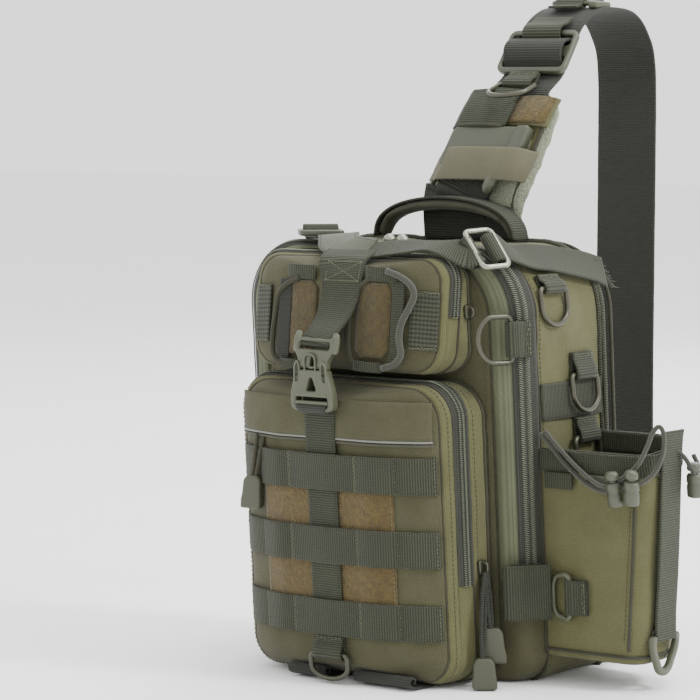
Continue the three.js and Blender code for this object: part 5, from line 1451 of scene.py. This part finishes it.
pad_layer("strap_patch", "strap_patch", 2.86, 3.95, [(2, 4.4), (18, 5.6), (32, 4.6), (36, 2.2)], LOOPS,
          1.2)
pad_layer("strap_patch_backing", "strap_patch", 2.8, 4.0, [(1, 3.0), (18, 4.2), (34, 3.0), (38, 0.6)], CLOTH_LIT,
          1.2)
pad_layer("strap_flap", "strap_flap", 2.72, 4.3, [(-40, 1.8), (-34, 7.2), (-10, 9.4), (8, 7.8)], WEB, thick=1.6)
flap_lip = [on_pad(2.72, shift, lift + 1) for shift, lift in ((-38, 3.2), (-30, 8), (-10, 9.8), (6, 8.2))]
round_piece("strap_flap_lip", "webbing", "strap_flap", curved(flap_lip), 1.3, EDGE, sides=8)

# Shoulder webbing
OVER = [(38, 133, 412.5), (38, 144.04, 426), (38, 160.04, 446), (38, 180.04, 457.5), (38, 200.04, 460.5),
        (38, 231, 457), (38, 249, 442), (38, 257, 417), (38, 253, 349.8), (38, 247, 275.8), (38, 241, 200.2),
        (38, 237, 140.1), (39.96, 233, 99.9), (43.92, 220, 66.1), (50.04, 195, 44.2), (55.92, 165, 33),
        (60.96, 137, 29.85), (64, 119.4, 35.8), (66, 108, 50.1), (66, 104.6, 66.1), (66, 103.4, 92)]
strap_line = [(38, *on_pad(t, 0, 1.4)[1:]) for t in (3.2, 4, 5)] + OVER
tape("strap_webbing", "strap_webbing", curved(strap_line), (1, 0, 0), 50, WEB_DARK, 2.2, smooth=False, seams=2.6,
     columns=20)
for z in (70, 88):
    bar_tack((44, 100.7, z), (88, 100.7, z), (0, 1, 0))


def beside_strap(i, lift):
    """A place above the strap at one of its points, the way it runs there and the way off it."""
    before, here, after = (np.array(OVER[k], float) for k in (i - 1, i, i + 1))
    along = unit((after - before) * (0, 1, 1))
    off = np.array([0, -along[2], along[1]])
    return here + off * lift, along, off


glide_at, glide_up, glide_out = beside_strap(1, 1.1 + 3.5)
glide_shape = filleted(box(58, 38), (6, 6, 6, 6), 7)
glide_holes = [filleted(box(50.5, 9.5, 0, side * 9.6), 2, 5) for side in (-1, 1)]
plate("tri_glide", "tri_glide", glide_shape, glide_holes, 4.8, glide_at, (1, 0, 0), glide_up, PLASTIC_DARK,
      edge=1.4)
roll_flat = ((-13, -1.2), (-10.5, 0.4), (-8.5, 3.6), (-4, 6.6), (0, 7.4), (4, 6.6), (8.5, 3.6), (10.5, 0.4),
             (13, -1.2))
roll = flat_at(roll_flat, glide_at, glide_up, glide_out)
tape("tri_glide_webbing", "tri_glide", roll, (1, 0, 0), 49, WEB_DARK, 2.0, step=1.2, seams=2.4, columns=18)
fold_flat = ((10, 0.6), (11.5, 3.4), (14.5, 5.6), (18.5, 5.8), (22, 4), (25, 1.4), (29, -0.8), (33, -2.4))
fold = flat_at(fold_flat, glide_at, glide_up, glide_out)
tape("strap_narrow_fold", "strap_webbing", fold, (1, 0, 0), 32, WEB, 1.8, step=1.4, columns=12)
top_at, top_up, top_out = beside_strap(4, 1.1 + 1.2)
top_at = top_at - top_up * 7
top_flat = filleted([(-17, -8.5), (17, -8.5), (17, 8.5), (-17, 8.5)], (7, 3, 3, 7), 8)
wire_ring("top_ring", top_flat, top_at + top_out * 2.2, (1, 0, 0), unit(top_up + top_out * 0.12), 2.0, METAL)
plate("top_ring_block", "top_ring", filleted(box(8, 20), 2, 5), [], 5, top_at + np.array([19, 0, 0]), (1, 0, 0),
      top_up, edge=1.4)
loop_flat = ((-20, -1.6), (-13, -0.6), (-9.6, 2.8), (-6.4, 5.4), (-4.6, 2.4), (-6.6, -0.6), (-12, -2.0))
loop = flat_at(loop_flat, top_at, top_up, top_out)
tape("top_ring_webbing", "strap_webbing", loop, (1, 0, 0), 24, WEB, 1.6, step=1)
ring_along = as_unit((0, 0.64, 0.77))
ring_in_loop("strap_d_ring", "strap_d_loop", on_pad(5, 0, 2.2) + ring_along, ring_along,
             (0, -ring_along[2], ring_along[1]), 12, math.radians(32))

# Zip sliders and pulls
def slider(name, node, place, along, out, size=1.0):
    """A slider body with its bridge."""
    along, out = as_unit(along), as_unit(out)
    side = np.cross(along, out)
    body = filleted([(-4.4, -5), (4.4, -5), (3.4, 5), (-3.4, 5)], 2.2, 5) * size
    place = np.array(place, float)
    plate(name + "_body", node, body, [], 2.8 * size, place, side, along, METAL, 0.8)
    bridge = np.array([(-3.4, 0.8), (-2.6, 3.6), (0, 4.4), (2.6, 3.6), (3.4, 0.8)]) * size
    bridge = curved(flat_at(bridge, place, along, out))
    round_piece(name + "_bridge", "metal", node, bridge, 0.95 * size, METAL, sides=8, step=0.6)


def pull_end(name, node, top, foot, width=17.0, side=(0.8, 0.6, 0)):
    """A moulded pull on the end of a doubled cord."""
    top, foot = np.array(top, float), np.array(foot, float)
    length = np.linalg.norm(foot - top)
    half = width / 2
    right = [(0.5, 3), (0.86, 0), (0.92, -length * 0.55), (1, -length * 0.65), (1, -length)]
    shape = [(half * x, y) for x, y in right] + [(-half * x, y) for x, y in right[::-1]]
    shape = filleted(shape[-1:] + shape[:-1], (1, 1, 2, 3, 1.4, 1.8, 1.8, 1.4, 3, 2), 4)
    plate(name, node, shape, [], 7.0, top, side, top - foot, RUBBER, edge=1.9)


for name, place in (("left", (1.5, 2.5, 297.8)), ("right", (12.5, 2.5, 297.8))):
    slider(f"main_slider_{name}", "main_zipper", place, (1, 0, 0), (0, -0.2, 1))
    turned_piece(f"main_slider_dome_{name}", "main_zipper", [(4.4, 0), (4.6, 1.2), (3.4, 3.2), (1.2, 4.4)],
                 np.array(place) + (0, 0.6, 1.6), (0, -0.2, 1), BRIGHT)
slider("lower_slider", "lower_zipper", (90.9, -29.5, 82), (0, 0, -1), (1, 0, 0), 1.05)
front_pull = [(94.5, -30, 79), (96.5, -31.5, 66), (98.5, -33.2, 50), (99.4, -33.8, 37)]
rear_pull = [(94.5, -31.5, 79), (96.2, -36.5, 62), (98, -41.5, 40), (99.2, -44.2, 20)]
for name, route in (("front", front_pull), ("rear", rear_pull)):
    for shift in (-1.7, 1.7):
        path = curved(np.array(route) + np.array([0, shift, 0]) * np.array([[0.3], [1], [1], [0.5]]))
        round_piece(f"pull_cord_{name}_{'a' if shift < 0 else 'b'}", "webbing", "lower_zipper", path, 1.5, WEB_DARK,
                    sides=8, step=1.6)
pull_end("pull_end_front", "lower_zipper", (99.4, -32.6, 39), (100.4, -32.8, 17.5))
pull_end("pull_end_rear", "lower_zipper", (99.2, -43.4, 19.5), (99.8, -44.2, 0.8))
slit = [(-57, -76, 167.5), (-57.6, -79, 158), (-59.5, -80, 147), (-62.5, -79.6, 136)]
for shift in (-2.4, 2.4):
    path = curved(np.array(slit) + np.array([shift, 0, 0]) * np.array([[1.3], [1.0], [0.8], [0.5]]))
    round_piece(f"slit_pull_cord_{'a' if shift < 0 else 'b'}", "webbing", "lower_pocket", path, 1.5, EDGE, sides=8,
                step=1.6)
pull_end("slit_pull_end", "lower_pocket", (-63, -79.4, 136), (-65.5, -80, 115.5), 16, (1, 0.1, 0))
slider("top_slider", "top_zipper", (83.6, -23.5, 254.5), (0, 0, -1), (1, 0, 0), 0.95)


# Repeats: stitches and teeth

def repeat_tree(name):
    """Geometry Nodes that set a small bead at even steps along each line of a mesh."""
    tree = bpy.data.node_groups.new(name, "GeometryNodeTree")
    sizes = {}
    sockets = [("Lines", "Geometry", "INPUT"), ("Material", "Material", "INPUT"), ("Repeats", "Geometry", "OUTPUT")]
    sockets += [(label, "Float", "INPUT") for label in ("Spacing", "Length", "Width", "Height", "Slant")]
    for label, kind, way in sockets:
        made = tree.interface.new_socket(label, in_out=way, socket_type="NodeSocket" + kind)
        sizes[label] = made.identifier

    def node(kind, inputs, **settings):
        return new_node(tree, kind, inputs, settings).outputs

    given = node("NodeGroupInput", {})
    curve = node("GeometryNodeMeshToCurve", {"Mesh": given["Lines"]})
    even = node("GeometryNodeResampleCurve", {"Curve": curve[0], "Length": given["Spacing"]}, mode="LENGTH")
    along = node("GeometryNodeInputTangent", {})
    off = node("GeometryNodeInputNamedAttribute", {"Name": "off"}, data_type="FLOAT_VECTOR")
    turn = node("FunctionNodeAxesToRotation", {"Primary Axis": along[0], "Secondary Axis": off[0]},
                primary_axis="X", secondary_axis="Z")
    slant = node("ShaderNodeCombineXYZ", {"Z": given["Slant"]})
    lean = node("FunctionNodeRotateRotation", {"Rotation": turn[0], "Rotate By": slant[0]}, rotation_space="LOCAL")
    ball = node("GeometryNodeMeshUVSphere", {"Segments": 6, "Rings": 4, "Radius": 0.5})
    scale = node("ShaderNodeCombineXYZ", {"X": given["Length"], "Y": given["Width"], "Z": given["Height"]})
    place = node("GeometryNodeInstanceOnPoints",
                 {"Points": even[0], "Instance": ball["Mesh"], "Rotation": lean[0], "Scale": scale[0]})
    real = node("GeometryNodeRealizeInstances", {0: place[0]})
    painted = node("GeometryNodeSetMaterial", {"Geometry": real[0], "Material": given["Material"]})
    node("NodeGroupOutput", {0: painted[0]})
    return tree, sizes


def repeat_along(name, tree_and_sizes, lines, material, slot, **values):
    """Runs a repeat tree over lines of (points, off) and keeps the result as a plain mesh."""
    tree, sizes = tree_and_sizes
    points, edges, offs = [], [], []
    for path, off in lines:
        start = len(points)
        points += list(world(path))
        offs += list(unit(np.array(off, float)))
        edges += [(start + i, start + i + 1) for i in range(len(path) - 1)]
    mesh = bpy.data.meshes.new(name)
    mesh.from_pydata([tuple(p) for p in points], edges, [])
    layer = mesh.attributes.new("off", "FLOAT_VECTOR", "POINT")
    layer.data.foreach_set("vector", np.array(offs, float).ravel())
    source = linked(name + "_lines", mesh)
    modifier = source.modifiers.new("repeat", "NODES")
    modifier.node_group = tree
    for label, value in values.items():
        modifier[sizes[label]] = value
    modifier[sizes["Material"]] = material
    graph = bpy.context.evaluated_depsgraph_get()
    made = bpy.data.meshes.new_from_object(source.evaluated_get(graph))
    bpy.data.objects.remove(source)
    made.materials.clear()
    made.materials.append(material)
    made.shade_smooth()
    settle(linked(name, made))


bead = repeat_tree("evenly_spaced_beads")
for side, name in ((-1, "zip_teeth_left"), (1, "zip_teeth_right")):
    for coil in sorted({row[3] for row in teeth_rows}):
        lines = [(path, off) for path, off, way, size in teeth_rows if way == side and size == coil]
        repeat_along(f"{name}_{int(coil * 10)}", bead, lines, COIL, "zip_tape",
                     Spacing=1.5 * MM, Length=0.85 * MM, Width=coil * 0.4 * MM, Height=1.1 * MM, Slant=side * 0.35)
threads = {
    "pale": (THREAD, 3.0, 2.3, 0.62),
    "olive": (THREAD_DARK, 3.2, 2.5, 0.6),
    "dark": (EDGE, 2.6, 2.0, 0.5),
    "tight": (THREAD, 1.5, 1.35, 0.7),
}
for kind, (material, spacing, length, width) in threads.items():
    lines = [(path, off) for row_kind, path, off in sewn_rows if row_kind == kind]
    if lines:
        repeat_along(f"stitches_{kind}", bead, lines, material, "webbing",
                     Spacing=spacing * MM, Length=length * MM, Width=width * MM, Height=0.45 * MM, Slant=0.0)


# Floor, light and camera

def plain_floor():
    mesh = bpy.data.meshes.new("floor")
    mesh.from_pydata([(-9, -9, 0), (9, -9, 0), (9, 9, 0), (-9, 9, 0)], [], [(0, 1, 2, 3)])
    n = Nodes("pale_floor")
    speck = n.noise(n.place(), 6, 2)
    tone = n.mix(n.clamp01(speck, 0.3, 0.7), (0.93, 0.93, 0.93, 1), (0.95, 0.95, 0.95, 1))
    mesh.materials.append(n.finish(tone, None, 0.9))
    linked("floor", mesh)


def area_light(name, place, aim, size, power):
    data = bpy.data.lights.new(name, "AREA")
    data.shape, data.size, data.energy = "DISK", size, power
    turn = (Vector(aim) - Vector(place)).to_track_quat("-Z", "Y").to_matrix().to_4x4()
    linked(name, data).matrix_world = Matrix.Translation(place) @ turn


plain_floor()
area_light("key", (2.4, 0.3, 2.2), (0.02, 0, 0.18), 0.8, 84)
area_light("top", (0.2, 0.3, 2.4), (0, 0, 0.2), 1.6, 36)
area_light("fill", (-1.5, -2.1, 1.1), (0, 0, 0.2), 1.8, 10)
area_light("back", (-0.9, 2.2, 1.6), (0, 0, 0.3), 1.6, 26)
studio = bpy.data.worlds.new("studio")
studio.use_nodes = True
sky = studio.node_tree.nodes["Background"].inputs
sky["Color"].default_value = (1, 1, 1, 1)
sky["Strength"].default_value = 1.75
bpy.context.scene.world = studio

lens = bpy.data.cameras.new("camera")
lens.sensor_width = 36
lens.lens = 166.08
camera = linked("camera", lens)
# The camera's right, its up and the way back from the bag, as fitted to the photo
turn = Matrix(((0.79771, 0.60304, -0.00106), (-0.04935, 0.06703, 0.99653), (0.60102, -0.79489, 0.08323)))
camera.matrix_world = Matrix.Translation((1.32069, -1.80905, 0.40921)) @ turn.transposed().to_4x4()
bpy.context.scene.camera = camera
